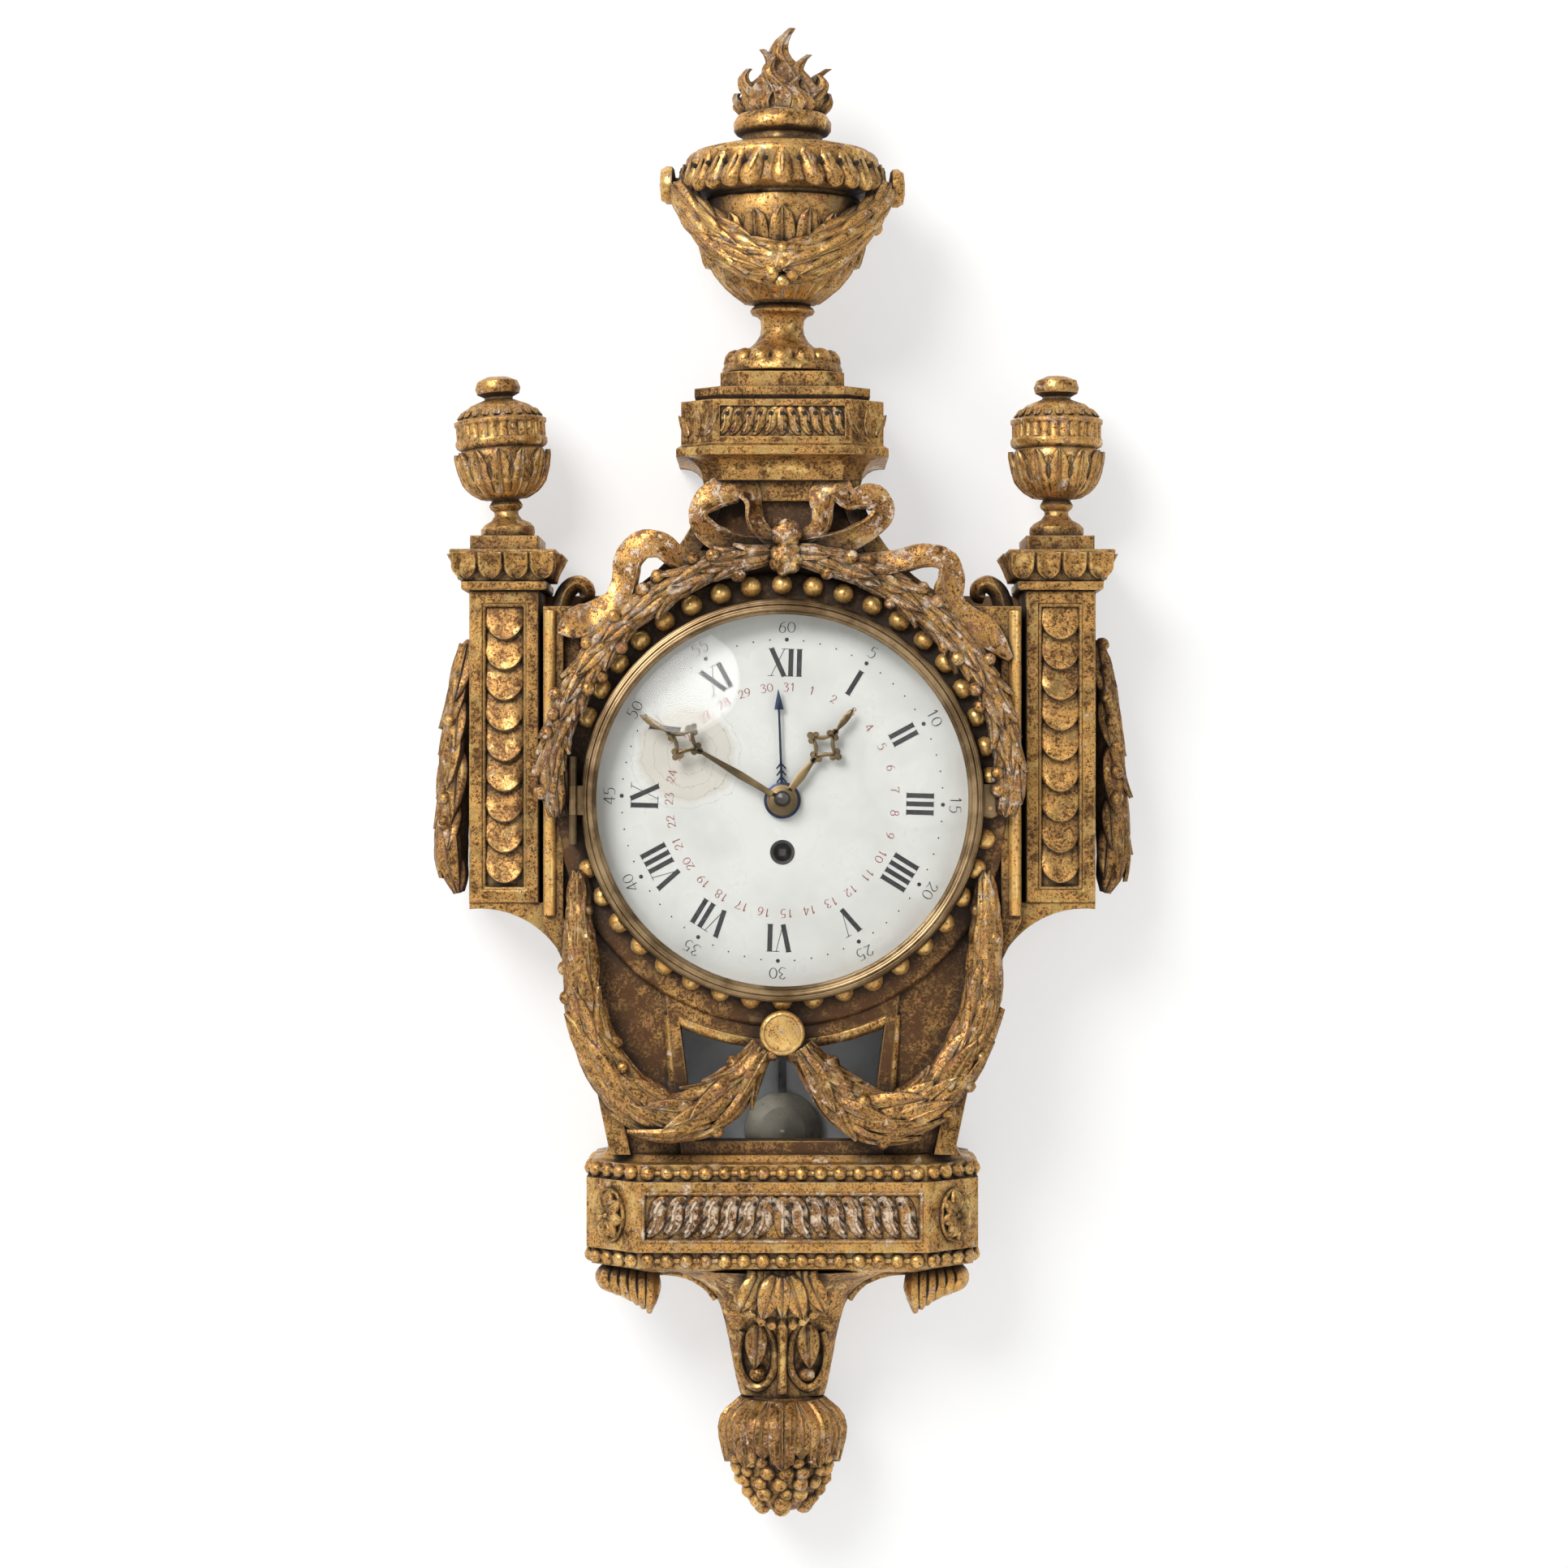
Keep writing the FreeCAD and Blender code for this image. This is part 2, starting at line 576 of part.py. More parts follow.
def make_pedestal():
    plan = canted_plan(PEDESTAL_HALF, PEDESTAL_FACE, PEDESTAL_FRONT)
    profile = quarter(NECK_TOP_Z, -13.0, COVE_TOP, 0.0, hollow=True)
    profile += [(COVE_TOP, 3.0), (FRIEZE_FOOT - 2.0, 3.0), (FRIEZE_FOOT, 0.0), (FRIEZE_TOP, 0.0)]
    body = layered(plan, profile)
    sunk = box(-PEDESTAL_FACE + 4.0, PEDESTAL_FACE - 4.0, FRIEZE_FOOT + 4.0, FRIEZE_TOP - 4.0,
               PEDESTAL_FRONT - FRIEZE_CUT, PEDESTAL_FRONT + 1.0)
    plate = layered(canted_plan(PLATE_HALF, PLATE_HALF * 0.7, URN_DEPTH + PLATE_HALF * 0.8),
                    [(FRIEZE_TOP, -2.0), (FRIEZE_TOP + PLATE_HIGH * 0.4, 0.0), (PLATE_TOP, 0.0)])
    step = layered(canted_plan(STEP_HALF, STEP_HALF * 0.7, URN_DEPTH + STEP_HALF),
                   [(PLATE_TOP, 0.0), (PEDESTAL_TOP, 0.0)])
    return fused([body.cut(sunk), plate, step])


# Great urn: foot, bowl, cover, flame, knobs and garland
BOWL_FOOT = PEDESTAL_TOP + URN_FOOT_HIGH
BAND_FOOT = BOWL_FOOT + BOWL_HIGH
COVER_FOOT = BAND_FOOT + URN_BAND_HIGH
COLLAR_TOP = COVER_FOOT + COVER_HIGH
URN_NECK_R = 18.5


def make_urn_foot():
    """Socle with a row of bosses, and the stem over it."""
    h, neck = URN_FOOT_HIGH, URN_NECK_R
    socle = STEP_HALF - 1.0
    boss = socle * 0.06
    steps = [(socle - 3.0, 0, 0), (socle, 0.12 * h, 0), (socle, 0.22 * h, boss),
             (socle - 6.0, 0.36 * h, boss), (socle * 0.55, 0.40 * h, 0), (neck * 0.77, 0.48 * h, 0),
             (neck * 0.68, 0.60 * h, 0), (neck * 0.84, 0.78 * h, 0), (neck, 0.84 * h, 0),
             (neck, 0.93 * h, 0), (neck - 2.0, h, 0)]
    return ribbed(steps, URN_RIBS, 0, URN_DEPTH, PEDESTAL_TOP)


def make_urn_bowl():
    """Bowl with long ribs below, a plain shoulder and the upright band."""
    h, r, neck = BOWL_HIGH, URN_BAND_R, URN_NECK_R
    steps = [(neck - 2.0, 0, 0), (neck, 2.0, 0), (r * 0.50, 0.14 * h, r * 0.05),
             (r * 0.655, 0.33 * h, r * 0.06), (r * 0.75, 0.52 * h, r * 0.03), (r * 0.82, 0.74 * h, 0),
             (r * 0.85, 0.93 * h, 0), (r * 0.80, h - 3.0, 0), (r * 0.93, h, 0), (r, h + 3.0, 0),
             (r, h + URN_BAND_HIGH, 0)]
    return ribbed(steps, URN_RIBS, 0, URN_DEPTH, BOWL_FOOT)


def make_urn_cover():
    h, r = COVER_HIGH, URN_BAND_R
    steps = [(r - 3.0, 0, 0), (r * 0.80, 0.17 * h, 0), (r * 0.47, 0.28 * h, 0), (r * 0.41, 0.34 * h, 0),
             (r * 0.41, 0.50 * h, 0), (r * 0.48, 0.56 * h, 0), (r * 0.51, 0.76 * h, 0), (r * 0.47, h, 0)]
    return ribbed(steps, URN_RIBS, 0, URN_DEPTH, COVER_FOOT)


def make_flame():
    """Flame of one tall tongue with five lower tongues curling round it."""
    h = FLAME_HIGH

    def tongue(turn, reach, high, thick):
        a = math.radians(turn)
        lift = [0.0, 0.3, 0.62, 1.0]
        out = [0.25 * reach, 0.8 * reach, reach, 0.78 * reach]
        points = []
        for up, far, swirl in zip(lift, out, (0.0, 0.25, 0.55, 0.9)):
            x, y = far * math.cos(a + swirl), far * math.sin(a + swirl)
            points.append(at(x, COLLAR_TOP + up * high, URN_DEPTH + y))
        return limb(points, [0.8 * thick, thick, 0.66 * thick, 0.12 * thick])

    core = tongue(200, 5.0, h, 13.0)
    ring = []
    for k in range(5):
        high = h * (0.68 + 0.1 * (k % 2))
        ring.append(tongue(72 * k + 10, FLAME_R * 0.62, high, FLAME_R * 0.36))
    return fused([core] + ring).cut(below(COLLAR_TOP))


def make_knob():
    """Garland knob on the right of the bowl, turned about a level axis."""
    z = BAND_FOOT + URN_BAND_HIGH / 2 - 5.0
    inner = KNOB_REACH - KNOB_THICK
    steps = [(0, URN_BAND_R - 4.0), (5.0, URN_BAND_R - 4.0), (5.0, inner), (KNOB_R - 1.5, inner),
             (KNOB_R, inner + 1.5), (KNOB_R, KNOB_REACH - 3.0), (KNOB_R * 0.7, KNOB_REACH),
             (0, KNOB_REACH)]
    face = face_of(steps, lambda p: at(p[1], z + p[0], URN_DEPTH))
    return face.revolve(at(0, z, URN_DEPTH), V(1, 0, 0), 360)


def make_urn_garland():
    """Swag hung across the front of the bowl from knob to knob."""
    points, radii, refs = [], [], []
    high = BAND_FOOT + 6.0
    for k in range(9):
        share = k / 8.0
        turn = math.radians(-80 + 160 * share)
        hang = math.sin(math.pi * share)
        reach = (URN_BAND_R + 5.0) * (1 - 0.33 * hang)
        out = V(math.sin(turn), -math.cos(turn), 0)
        points.append(at(0, high - 0.812 * BOWL_HIGH * hang ** 0.8, URN_DEPTH) + out * reach)
        refs.append(out)
        radii.append(5.5 + 5.0 * hang)
    return limb(points, radii, refs)


# Ribbon bow, laurel branches and festoons
BOW_DEPTH = PANEL_FRONT + 9.0
RIBBON_THICK = 3.4
RIBBON_WIDTH = 19.0


def ribbon(steps, back, front):
    """A ribbon standing on its edge, along a path of arcs."""
    edges = []
    here = steps[0]
    for middle, end in steps[1:]:
        edges.append(Part.Arc(at(*here, back), at(*middle, back), at(*end, back)).toShape())
        here = end
    line = Part.Wire(edges).makeOffset2D(RIBBON_THICK / 2, 0, False, False)
    return Part.Face(line.Wires[0]).extrude(V(0, back - front, 0))


def make_bow():
    """Two loops and two rippling tails with pointed ends."""
    loop = grown([(7, 141), ((30, 151), (48, 163)), ((58, 176), (44, 187)), ((24, 184), (8, 157))])
    tail = grown([(7, 136), ((21, 147), (36, 145)), ((52, 141), (66, 150)), ((83, 150), (92, 134)),
                  ((104, 122), (116, 113)), ((128, 102), (134, 86))])
    half = ribbon(loop, PANEL_FRONT, PANEL_FRONT + RIBBON_WIDTH)
    half = half.fuse(ribbon(tail, CASE_FRONT, CASE_FRONT + RIBBON_WIDTH - 4.0))
    return half.fuse(mirrored(half))


def make_bow_knot():
    steps = [(0, PANEL_FRONT), (12.0, PANEL_FRONT), (14.0, BOW_DEPTH + 8.0), (9.0, BOW_DEPTH + 15.0),
             (0, BOW_DEPTH + 18.0)]
    return lathe(steps, 0, SURROUND_OUT + 13.5)


def make_laurel():
    """Right-hand laurel branch, lying on the beaded surround and thinning towards its tip."""
    points, radii = [], []
    path = [(84, 3, 6.5), (66, 0, 8.5), (49, -2, 9.0), (32, -2, 9.0), (15, 1, 7.5), (1, -0.5, 4.0)]
    for turn, rise, thick in path:
        a = math.radians(turn)
        r = SURROUND_OUT + rise
        lift = BEAD_FRONT + 0.2 + thick
        points.append(at(r * math.cos(a), r * math.sin(a), lift))
        radii.append(thick)
    return limb(points, radii)


def make_festoon():
    """Right-hand leaf festoon from the end of the surround down to the button over the window."""
    path = [(121, -50, 6.0), (119, -95, 9.0), (108, -142, 10.5), (85, -180, 12.5), (59, -194, 13.0),
            (33, -183, 11.5), (16, -158, 8.0), (9.5, -144, 5.0)]
    points = [at(x * GROW, z * GROW, CASE_FRONT + 9.0) for x, z, r in path]
    return limb(points, [r for x, z, r in path])


def make_button():
    front = CASE_FRONT + 17.0
    steps = [(0, PANEL_FRONT), (BUTTON_R - 4.0, PANEL_FRONT), (BUTTON_R - 4.0, front - 8.0),
             (BUTTON_R, front - 6.0), (BUTTON_R, front - 3.0), (BUTTON_R * 0.7, front), (0, front)]
    return lathe(steps, 0, BUTTON_Z)


def make_side_drop():
    """Laurel drop on the outer side of the right pilaster."""
    path = [(2, 98, 4.5), (5, 75, 8.0), (8, 35, 10.0), (10, -8, 12.0), (11, -34, 13.0), (8, -50, 8.0)]
    points = [at(PILASTER_OUT + x, z * GROW, PILASTER_DEPTH) for x, z, r in path]
    return limb(points, [r for x, z, r in path])


def make_shoulder_scroll():
    """Small scroll that stands on the shoulder of the case beside the capital."""
    r, back, front = 9.0, 24.0 * OUT, 66.0 * OUT
    steps = [(0, back), (r, back), (r, front - 4.0), (r - 3.0, front), (0, front)]
    return lathe(steps, SHOULDER_END_X + 7.5, SHOULDER_Z + r - 0.5)


# Base, console and pendant
BAND_TOP_Z = FOOT_Z - BASE_CROWN
BAND_FOOT_Z = BAND_TOP_Z - BASE_BAND
BASE_FOOT = BAND_FOOT_Z - BASE_SKIRT
CONSOLE_FOOT = BASE_FOOT - CONSOLE_HIGH
BEAD_SET_IN = 3.0            # the bead rows stand on ledges set in from the band
base_plan = canted_plan(BASE_HALF, BASE_FACE, BASE_FRONT)


def make_base():
    ledge = -BEAD_SET_IN
    profile = [(BASE_FOOT, -20.0), (BASE_FOOT + 4.0, ledge - 8.0), (BASE_FOOT + 4.0, ledge),
               (BAND_FOOT_Z, ledge), (BAND_FOOT_Z, 0.0), (BAND_TOP_Z, 0.0), (BAND_TOP_Z, ledge),
               (FOOT_Z - 5.0, ledge), (FOOT_Z - 4.0, ledge - 6.0), (FOOT_Z, ledge - 9.0)]
    body = layered(base_plan, profile)
    sunk = box(-BASE_FACE + 5.0, BASE_FACE - 5.0, BAND_FOOT_Z + 8.0, BAND_TOP_Z - 8.0,
               BASE_FRONT - FRIEZE_CUT, BASE_FRONT + 1.0)
    room = box(-CAVITY_HALF, CAVITY_HALF, FOOT_Z - CAVITY_DEEP, FOOT_Z + 1.0, BACK_BOARD, CAVITY_FRONT)
    return body.cut(sunk).cut(room)


def make_plinth_beads(z):
    """A row of beads along the sides, canted corners and front at height z."""
    corners = base_plan(-BEAD_SET_IN)[1:] + base_plan(-BEAD_SET_IN)[:1]
    beads = []
    for (x0, d0), (x1, d1) in zip(corners, corners[1:]):
        long = math.dist((x0, d0), (x1, d1))
        count = int(long / PLINTH_BEAD_PITCH)
        for k in range(count):
            t = (k + 0.5) / count
            centre = at(x0 + (x1 - x0) * t, z, d0 + (d1 - d0) * t)
            beads.append(bead(centre, V(d1 - d0, x1 - x0, 0), PLINTH_BEAD_R))
    return beads


def make_rosette():
    """Oval rosette on the right canted corner of the base."""
    x, depth = (BASE_HALF + BASE_FACE) / 2, BASE_FRONT - (BASE_HALF - BASE_FACE) / 2
    z = (BAND_TOP_Z + BAND_FOOT_Z) / 2
    out = V(1, -1, 0)
    r, thick = BASE_BAND * 0.345, 3.5
    disc = Part.makeCylinder(r, thick, at(x, z, depth), out)
    heart = Part.makeCone(r * 0.48, r * 0.28, thick, at(x, z, depth) + out.normalize() * thick, out)
    return disc.fuse(heart)


def console_front(z):
    """Depth of the console's front at height z: a hollow sweep from the base to the pendant."""
    t = (BASE_FOOT - z) / CONSOLE_HIGH
    return BASE_FRONT - 48.0 + 38.0 * (1 - t) ** 3


def make_console():
    wires = []
    neck = CONSOLE_NECK_HALF
    for t, share in ((0.0, 2.47), (0.15, 1.67), (0.4, 1.41), (0.64, 1.29), (1.0, 1.0)):
        half = neck * share
        z = BASE_FOOT - t * CONSOLE_HIGH
        nose = console_front(z)
        bend = nose * 0.5
        place = lambda x, depth: at(x, z, depth)
        wires.append(Part.Wire([
            Part.LineSegment(place(-half, 0), place(half, 0)).toShape(),
            Part.LineSegment(place(half, 0), place(half, bend)).toShape(),
            Part.Arc(place(half, bend), place(0, nose), place(-half, bend)).toShape(),
            Part.LineSegment(place(-half, bend), place(-half, 0)).toShape()]))
    return Part.makeLoft(wires, True, True)


def make_console_leaf():
    """Acanthus leaf that falls from the base over the console and curls out at its tip."""
    points = []
    for drop, out in ((0.0, 3.0), (0.15, 3.0), (0.35, 3.0), (0.55, 5.0), (0.7, 11.0)):
        z = BASE_FOOT - drop * CONSOLE_HIGH
        points.append(at(0, z, console_front(z) + out))
    return strip(points, [V(1, 0, 0)] * 5, CONSOLE_NECK_HALF * 1.8, 9.0)


def make_volute():
    """Scrolled leaf under the right end of the base."""
    wide = BASE_HALF / 118.0
    path = [(44, -13, 6.0), (62, -17, 8.0), (82, -16, 8.5), (98, -10, 7.5), (102, -4, 5.0)]
    points = [at(x * wide, BASE_FOOT + z, 45.0 * OUT) for x, z, r in path]
    return limb(points, [r for x, z, r in path])


def make_pendant():
    """Cup of drooping leaves and the berry cluster at the foot of the clock."""
    r, h = PENDANT_R, PENDANT_HIGH
    steps = [(CONSOLE_NECK_HALF * 0.8, 0, 0), (r * 0.86, -0.13 * h, r * 0.10), (r, -0.30 * h, r * 0.14),
             (r, -0.42 * h, r * 0.14), (r * 0.80, -0.50 * h, r * 0.05), (r * 0.74, -0.64 * h, 0),
             (r * 0.58, -0.80 * h, 0), (r * 0.34, -0.94 * h, 0), (r * 0.10, -h, 0)]
    return ribbed(steps, PENDANT_LEAVES, 0, PENDANT_DEPTH, CONSOLE_FOOT)


# Hanger plate in the back of the board
HANGER_Z = NECK_TOP_Z - 19.0
HANGER_HALF = 26.0
HANGER_HIGH = 20.0
HANGER_THICK = 3.0
HANGER_SUNK = 0.5            # the plate lies this far under the board's back
HANGER_HOLE_R = 4.0


def make_hanger():
    plate = box(-HANGER_HALF, HANGER_HALF, HANGER_Z - HANGER_HIGH / 2, HANGER_Z + HANGER_HIGH / 2,
                HANGER_SUNK, HANGER_SUNK + HANGER_THICK)
    return plate.cut(rod(0, HANGER_Z, HANGER_HOLE_R, 0, BACK_BOARD))


def hanger_pocket():
    """Room for the plate in the board, with a deeper hole for the nail's head."""
    pocket = box(-HANGER_HALF, HANGER_HALF, HANGER_Z - HANGER_HIGH / 2, HANGER_Z + HANGER_HIGH / 2,
                 -1, HANGER_SUNK + HANGER_THICK)
    return pocket.fuse(rod(0, HANGER_Z, HANGER_HOLE_R + 3.0, 0, BACK_BOARD - 2.0))


# Dial, seat ring, bezel with its glass and hinge
def make_seat_ring():
    rebate = DIAL_R + SEAT_GAP
    ledge = DIAL_EDGE - DIAL_THICK
    return lathe([(RING_LEDGE_R, PANEL_FRONT), (RING_R, PANEL_FRONT), (RING_R, RING_FRONT),
                  (rebate, RING_FRONT), (rebate, ledge), (RING_LEDGE_R, ledge)])


def make_dial():
    back = DIAL_EDGE - DIAL_THICK
    steps = [(0, back + DIAL_CROWN), (DIAL_R, back), (DIAL_R, DIAL_EDGE),
             dome(DIAL_R, DIAL_EDGE, DIAL_CROWN)]
    far = DIAL_EDGE + DIAL_CROWN + 1
    dial = lathe(steps).cut(rod(0, 0, DIAL_CENTRE_HOLE_R, back - 1, far))
    return dial.cut(rod(0, BARREL_Z, WINDING_HOLE_R, back - 1, far))


GLASS_SEAT = BEZEL_FRONT - 3.5 - LIP          # back of the lip that holds the glass
GLASS_R = BEZEL_R - BEZEL_WALL


def make_bezel():
    """Turned brass ring with a rounded front, the moving knuckle of its hinge and a pull."""
    steps = [(GLASS_R, BEZEL_BACK), (BEZEL_R, BEZEL_BACK), (BEZEL_R, BEZEL_FRONT - 7.0),
             (BEZEL_R - 1.6, BEZEL_FRONT - 2.2), (BEZEL_R - 5.0, BEZEL_FRONT),
             (SIGHT_R + 2.0, BEZEL_FRONT - 1.5), (SIGHT_R, GLASS_SEAT + LIP), (SIGHT_R, GLASS_SEAT),
             (GLASS_R, GLASS_SEAT)]
    knuckle_foot = at(HINGE_X, -HINGE_MIDDLE, HINGE_DEPTH)
    knuckle = Part.makeCylinder(KNUCKLE_R, 2 * HINGE_MIDDLE, knuckle_foot, UP)
    reach = -BEZEL_R + 3.0
    tab = box(HINGE_X + KNUCKLE_R - 0.8, reach, -HINGE_MIDDLE, HINGE_MIDDLE,
              HINGE_DEPTH - 4.5, HINGE_DEPTH - 0.5)
    pull = box(BEZEL_R - 2.0, BEZEL_R + 8.0, -9.5, 9.5, BEAD_FRONT + 0.7, BEAD_FRONT + 3.7)
    body = fused([lathe(steps), tab, knuckle, pull])
    bore_foot = at(HINGE_X, -2 * HINGE_MIDDLE, HINGE_DEPTH)
    bore = Part.makeCylinder(HINGE_PIN_R + RUN, 4 * HINGE_MIDDLE, bore_foot, UP)
    return body.cut(bore)


def make_hinge():
    """Fixed leaf of the bezel's hinge, with its outer knuckles and pin."""
    leaf = box(HINGE_X - 1.5, HINGE_X + 1.5, -HINGE_HALF, HINGE_HALF, SURROUND_FRONT, HINGE_DEPTH - 1.0)
    room = HINGE_MIDDLE + 0.3
    notch = box(HINGE_X - 5, HINGE_X + 5, -room, room, HINGE_DEPTH - KNUCKLE_R - 0.6, HINGE_DEPTH + 1)
    sides = []
    for z in (-HINGE_HALF, room):
        sides.append(Part.makeCylinder(KNUCKLE_R, HINGE_HALF - room, at(HINGE_X, z, HINGE_DEPTH), UP))
    pin = Part.makeCylinder(HINGE_PIN_R, 2 * HINGE_HALF, at(HINGE_X, -HINGE_HALF, HINGE_DEPTH), UP)
    return fused([leaf.cut(notch)] + sides + [pin])


def make_bezel_glass():
    """Domed glass with a flat rim behind the bezel's lip."""
    front = GLASS_SEAT - 0.1
    back = front - GLASS_THICK
    rim = GLASS_R - 0.2
    dome_r = SIGHT_R - 0.3
    inner = dome_r - GLASS_THICK
    rise = GLASS_CROWN - GLASS_THICK
    steps = [(0, back + rise), hollow_dome(inner, back, rise), (rim, back), (rim, front), (dome_r, front),
             dome(dome_r, front, rise)]
    return lathe(steps)


def make_window_glass():
    return prism(window_outline(PANE_LAP), PANEL_BACK - PANE_THICK, PANEL_BACK)


# Movement and hands
def make_front_plate():
    plate = rod(0, 0, PLATE_R, FRONT_PLATE, FRONT_PLATE + PLATE_THICK)
    plate = plate.cut(rod(0, 0, ARBOR_R + RUN, 0, CASE_FRONT))
    return plate.cut(rod(0, BARREL_Z, WINDING_R + RUN, 0, CASE_FRONT))


def make_back_plate():
    plate = rod(0, 0, PLATE_R, BACK_PLATE, BACK_PLATE + PLATE_THICK)
    return plate.cut(rod(0, ANCHOR_Z, CRUTCH_ARBOR_R + RUN, 0, CASE_FRONT))


CRUTCH_ARBOR_R = 2.0
CRUTCH_ARBOR_FRONT = BACK_PLATE + 14.0
PIVOT_BACK = FRONT_PLATE - 14.0     # back ends of the arbors, in the drum
ANCHOR_ROOM = 15.5           # recess in the drum for the swinging pallets


def make_drum():
    """Band that closes the movement between its plates."""
    drum = rod(0, 0, DRUM_R, BACK_PLATE + PLATE_THICK, FRONT_PLATE)
    back = PIVOT_BACK - 2.0
    drum = drum.cut(rod(0, 0, ARBOR_R + RUN, back, CASE_FRONT))
    drum = drum.cut(rod(0, BARREL_Z, WINDING_R + RUN, back, CASE_FRONT))
    return drum.cut(rod(0, ANCHOR_Z, ANCHOR_ROOM, 0, CASE_FRONT))


def make_strap():
    return box(DRUM_R + 1.0, APERTURE_R + 17.0, -STRAP_WIDTH / 2, STRAP_WIDTH / 2,
               FRONT_PLATE - STRAP_THICK, FRONT_PLATE)


def make_winding_arbor():
    """Arbor that the key turns: round in the movement, square behind the dial's hole."""
    half = WINDING_SQUARE / 2
    plate_face = FRONT_PLATE + PLATE_THICK
    round_part = rod(0, BARREL_Z, WINDING_R, PIVOT_BACK, plate_face + 0.3)
    collar = rod(0, BARREL_Z, WINDING_R + 2.0, plate_face + 0.3, plate_face + 2.3)
    square = box(-half, half, BARREL_Z - half, BARREL_Z + half, plate_face, DIAL_EDGE + 1.5)
    return fused([round_part, collar, square])


def hand_turned(shape, turn):
    """Turns a hand drawn at twelve clockwise to where it stands."""
    shape.rotate(V(0, 0, 0), V(0, 1, 0), turn)
    return shape


def pierced_hand(hand, hub, open_frame, reach, stem):
    """Hand with a tapering stem, an open diamond frame and a pointed tip."""
    back, front = hand
    square_in, square_out = reach - open_frame[0], reach - open_frame[1]
    mid = (square_in + square_out) / 2
    half = (square_out - square_in) / 2
    rim = half * 0.42
    slim, stem_end = stem * 0.7, square_in + 1.5
    stem_part = prism([(-stem, 0), (stem, 0), (slim, stem_end), (-slim, stem_end)], back, front)
    frame = prism([(0, square_in), (half, mid), (0, square_out), (-half, mid)], back, front)
    hole = prism([(0, mid - half + rim), (half - rim, mid), (0, mid + half - rim), (rim - half, mid)],
                 back - 1, front + 1)
    root, tip_foot = stem * 0.8, square_out - 2.0
    tip = prism([(-root, tip_foot), (root, tip_foot), (0.25, reach), (-0.25, reach)], back, front)
    trefoils = []
    for x, z in ((half, mid), (-half, mid), (0, square_out), (0, square_in)):
        trefoils.append(rod(x, z, rim * 0.75, back, front))
    return fused([stem_part, frame.cut(hole), tip, rod(0, 0, hub, back, front)] + trefoils)


def make_hour_hand():
    hand = pierced_hand(HOUR_HAND, HOUR_HUB_R, HOUR_FRAME, HOUR_HAND_LONG, HOUR_STEM)
    return hand_turned(hand, HOUR_HAND_TURN)


def make_minute_hand():
    hand = pierced_hand(MINUTE_HAND, MINUTE_HUB_R, MINUTE_FRAME, MINUTE_HAND_LONG, MINUTE_STEM)
    return hand_turned(hand, MINUTE_HAND_TURN)


def make_date_hand():
    back, front = DATE_HAND
    reach = DATE_HAND_LONG
    shaft = prism([(-1.0, 0), (1.0, 0), (0.8, reach - 9.0), (-0.8, reach - 9.0)], back, front)
    arrow = prism([(-3.2, reach - 11.0), (0, reach - 9.0), (3.2, reach - 11.0), (0.2, reach),
                   (-0.2, reach)], back, front)
    return hand_turned(fused([shaft, arrow, rod(0, 0, 11.0, back, front)]), DATE_HAND_TURN)


def make_minute_arbor():
    """Centre arbor with the domed cap that holds the minute hand."""
    front = MINUTE_HAND[1]
    cap = lathe([(0, front), (5.0, front), (3.6, front + 3.0), (0, front + 4.0)])
    return rod(0, 0, ARBOR_R, PIVOT_BACK, front).fuse(cap)


def make_pipe(wheel, inner, outer, front):
    """Pipe that carries a hand in front of the dial and its wheel behind it."""
    back, wheel_front, r = wheel
    body = rod(0, 0, outer, back, front).fuse(rod(0, 0, r, back, wheel_front))
    return body.cut(rod(0, 0, inner + RUN, back - 1, front + 1))


# Pendulum, crutch and the cock that carries them
def make_cock():
    bridge = box(-COCK_HALF, COCK_HALF, ANCHOR_Z - COCK_HIGH / 2, ANCHOR_Z + COCK_HIGH / 2,
                 COCK_BACK, COCK_FRONT)
    feet = []
    for x in (-COCK_HALF + 4.0, COCK_HALF - 4.0):
        feet.append(rod(x, ANCHOR_Z, 3.5, COCK_FRONT, BACK_PLATE))
    back = PENDULUM_DEPTH - 3.0
    stud = rod(0, ANCHOR_Z, STUD_R, back, COCK_BACK).fuse(rod(0, ANCHOR_Z, STUD_R + 1.6, back - 1.0, back))
    return fused([bridge, stud] + feet)


def make_crutch():
    """Pallet arbor with the crutch whose fork takes the pendulum rod between its prongs."""
    arm_back, arm_front = COCK_FRONT + 0.5, BACK_PLATE - 0.5
    arbor = rod(0, ANCHOR_Z, CRUTCH_ARBOR_R, COCK_FRONT + 0.3, CRUTCH_ARBOR_FRONT)
    eye = rod(0, ANCHOR_Z, 5.0, arm_back, arm_front)
    arm = box(-1.6, 1.6, CRUTCH_END_Z, ANCHOR_Z, arm_back, arm_front)
    wide = ROD_WIDTH / 2 + FORK_GAP
    bar = box(-wide - 2.0, wide + 2.0, CRUTCH_END_Z, CRUTCH_END_Z + 4.0, arm_back, arm_front)
    prong_back = PENDULUM_DEPTH - ROD_THICK / 2 - 1.5
    prong = box(wide, wide + 2.0, CRUTCH_END_Z, CRUTCH_END_Z + 4.0, prong_back, arm_back)
    tips = ANCHOR_Z - 9.5
    anchor = prism([(-10, tips), (-8, tips), ((0, ANCHOR_Z - 3), (8, tips)), (10, tips),
                    ((0, ANCHOR_Z + 4.5), (-10, tips))], BACK_PLATE + 8.0, BACK_PLATE + 10.0)
    return fused([arbor, eye, arm, bar, prong, mirrored(prong), anchor])


BOB_Z = ANCHOR_Z - PENDULUM_LONG
NUT_Z = BOB_Z - BOB_R - 0.3 - NUT_THICK


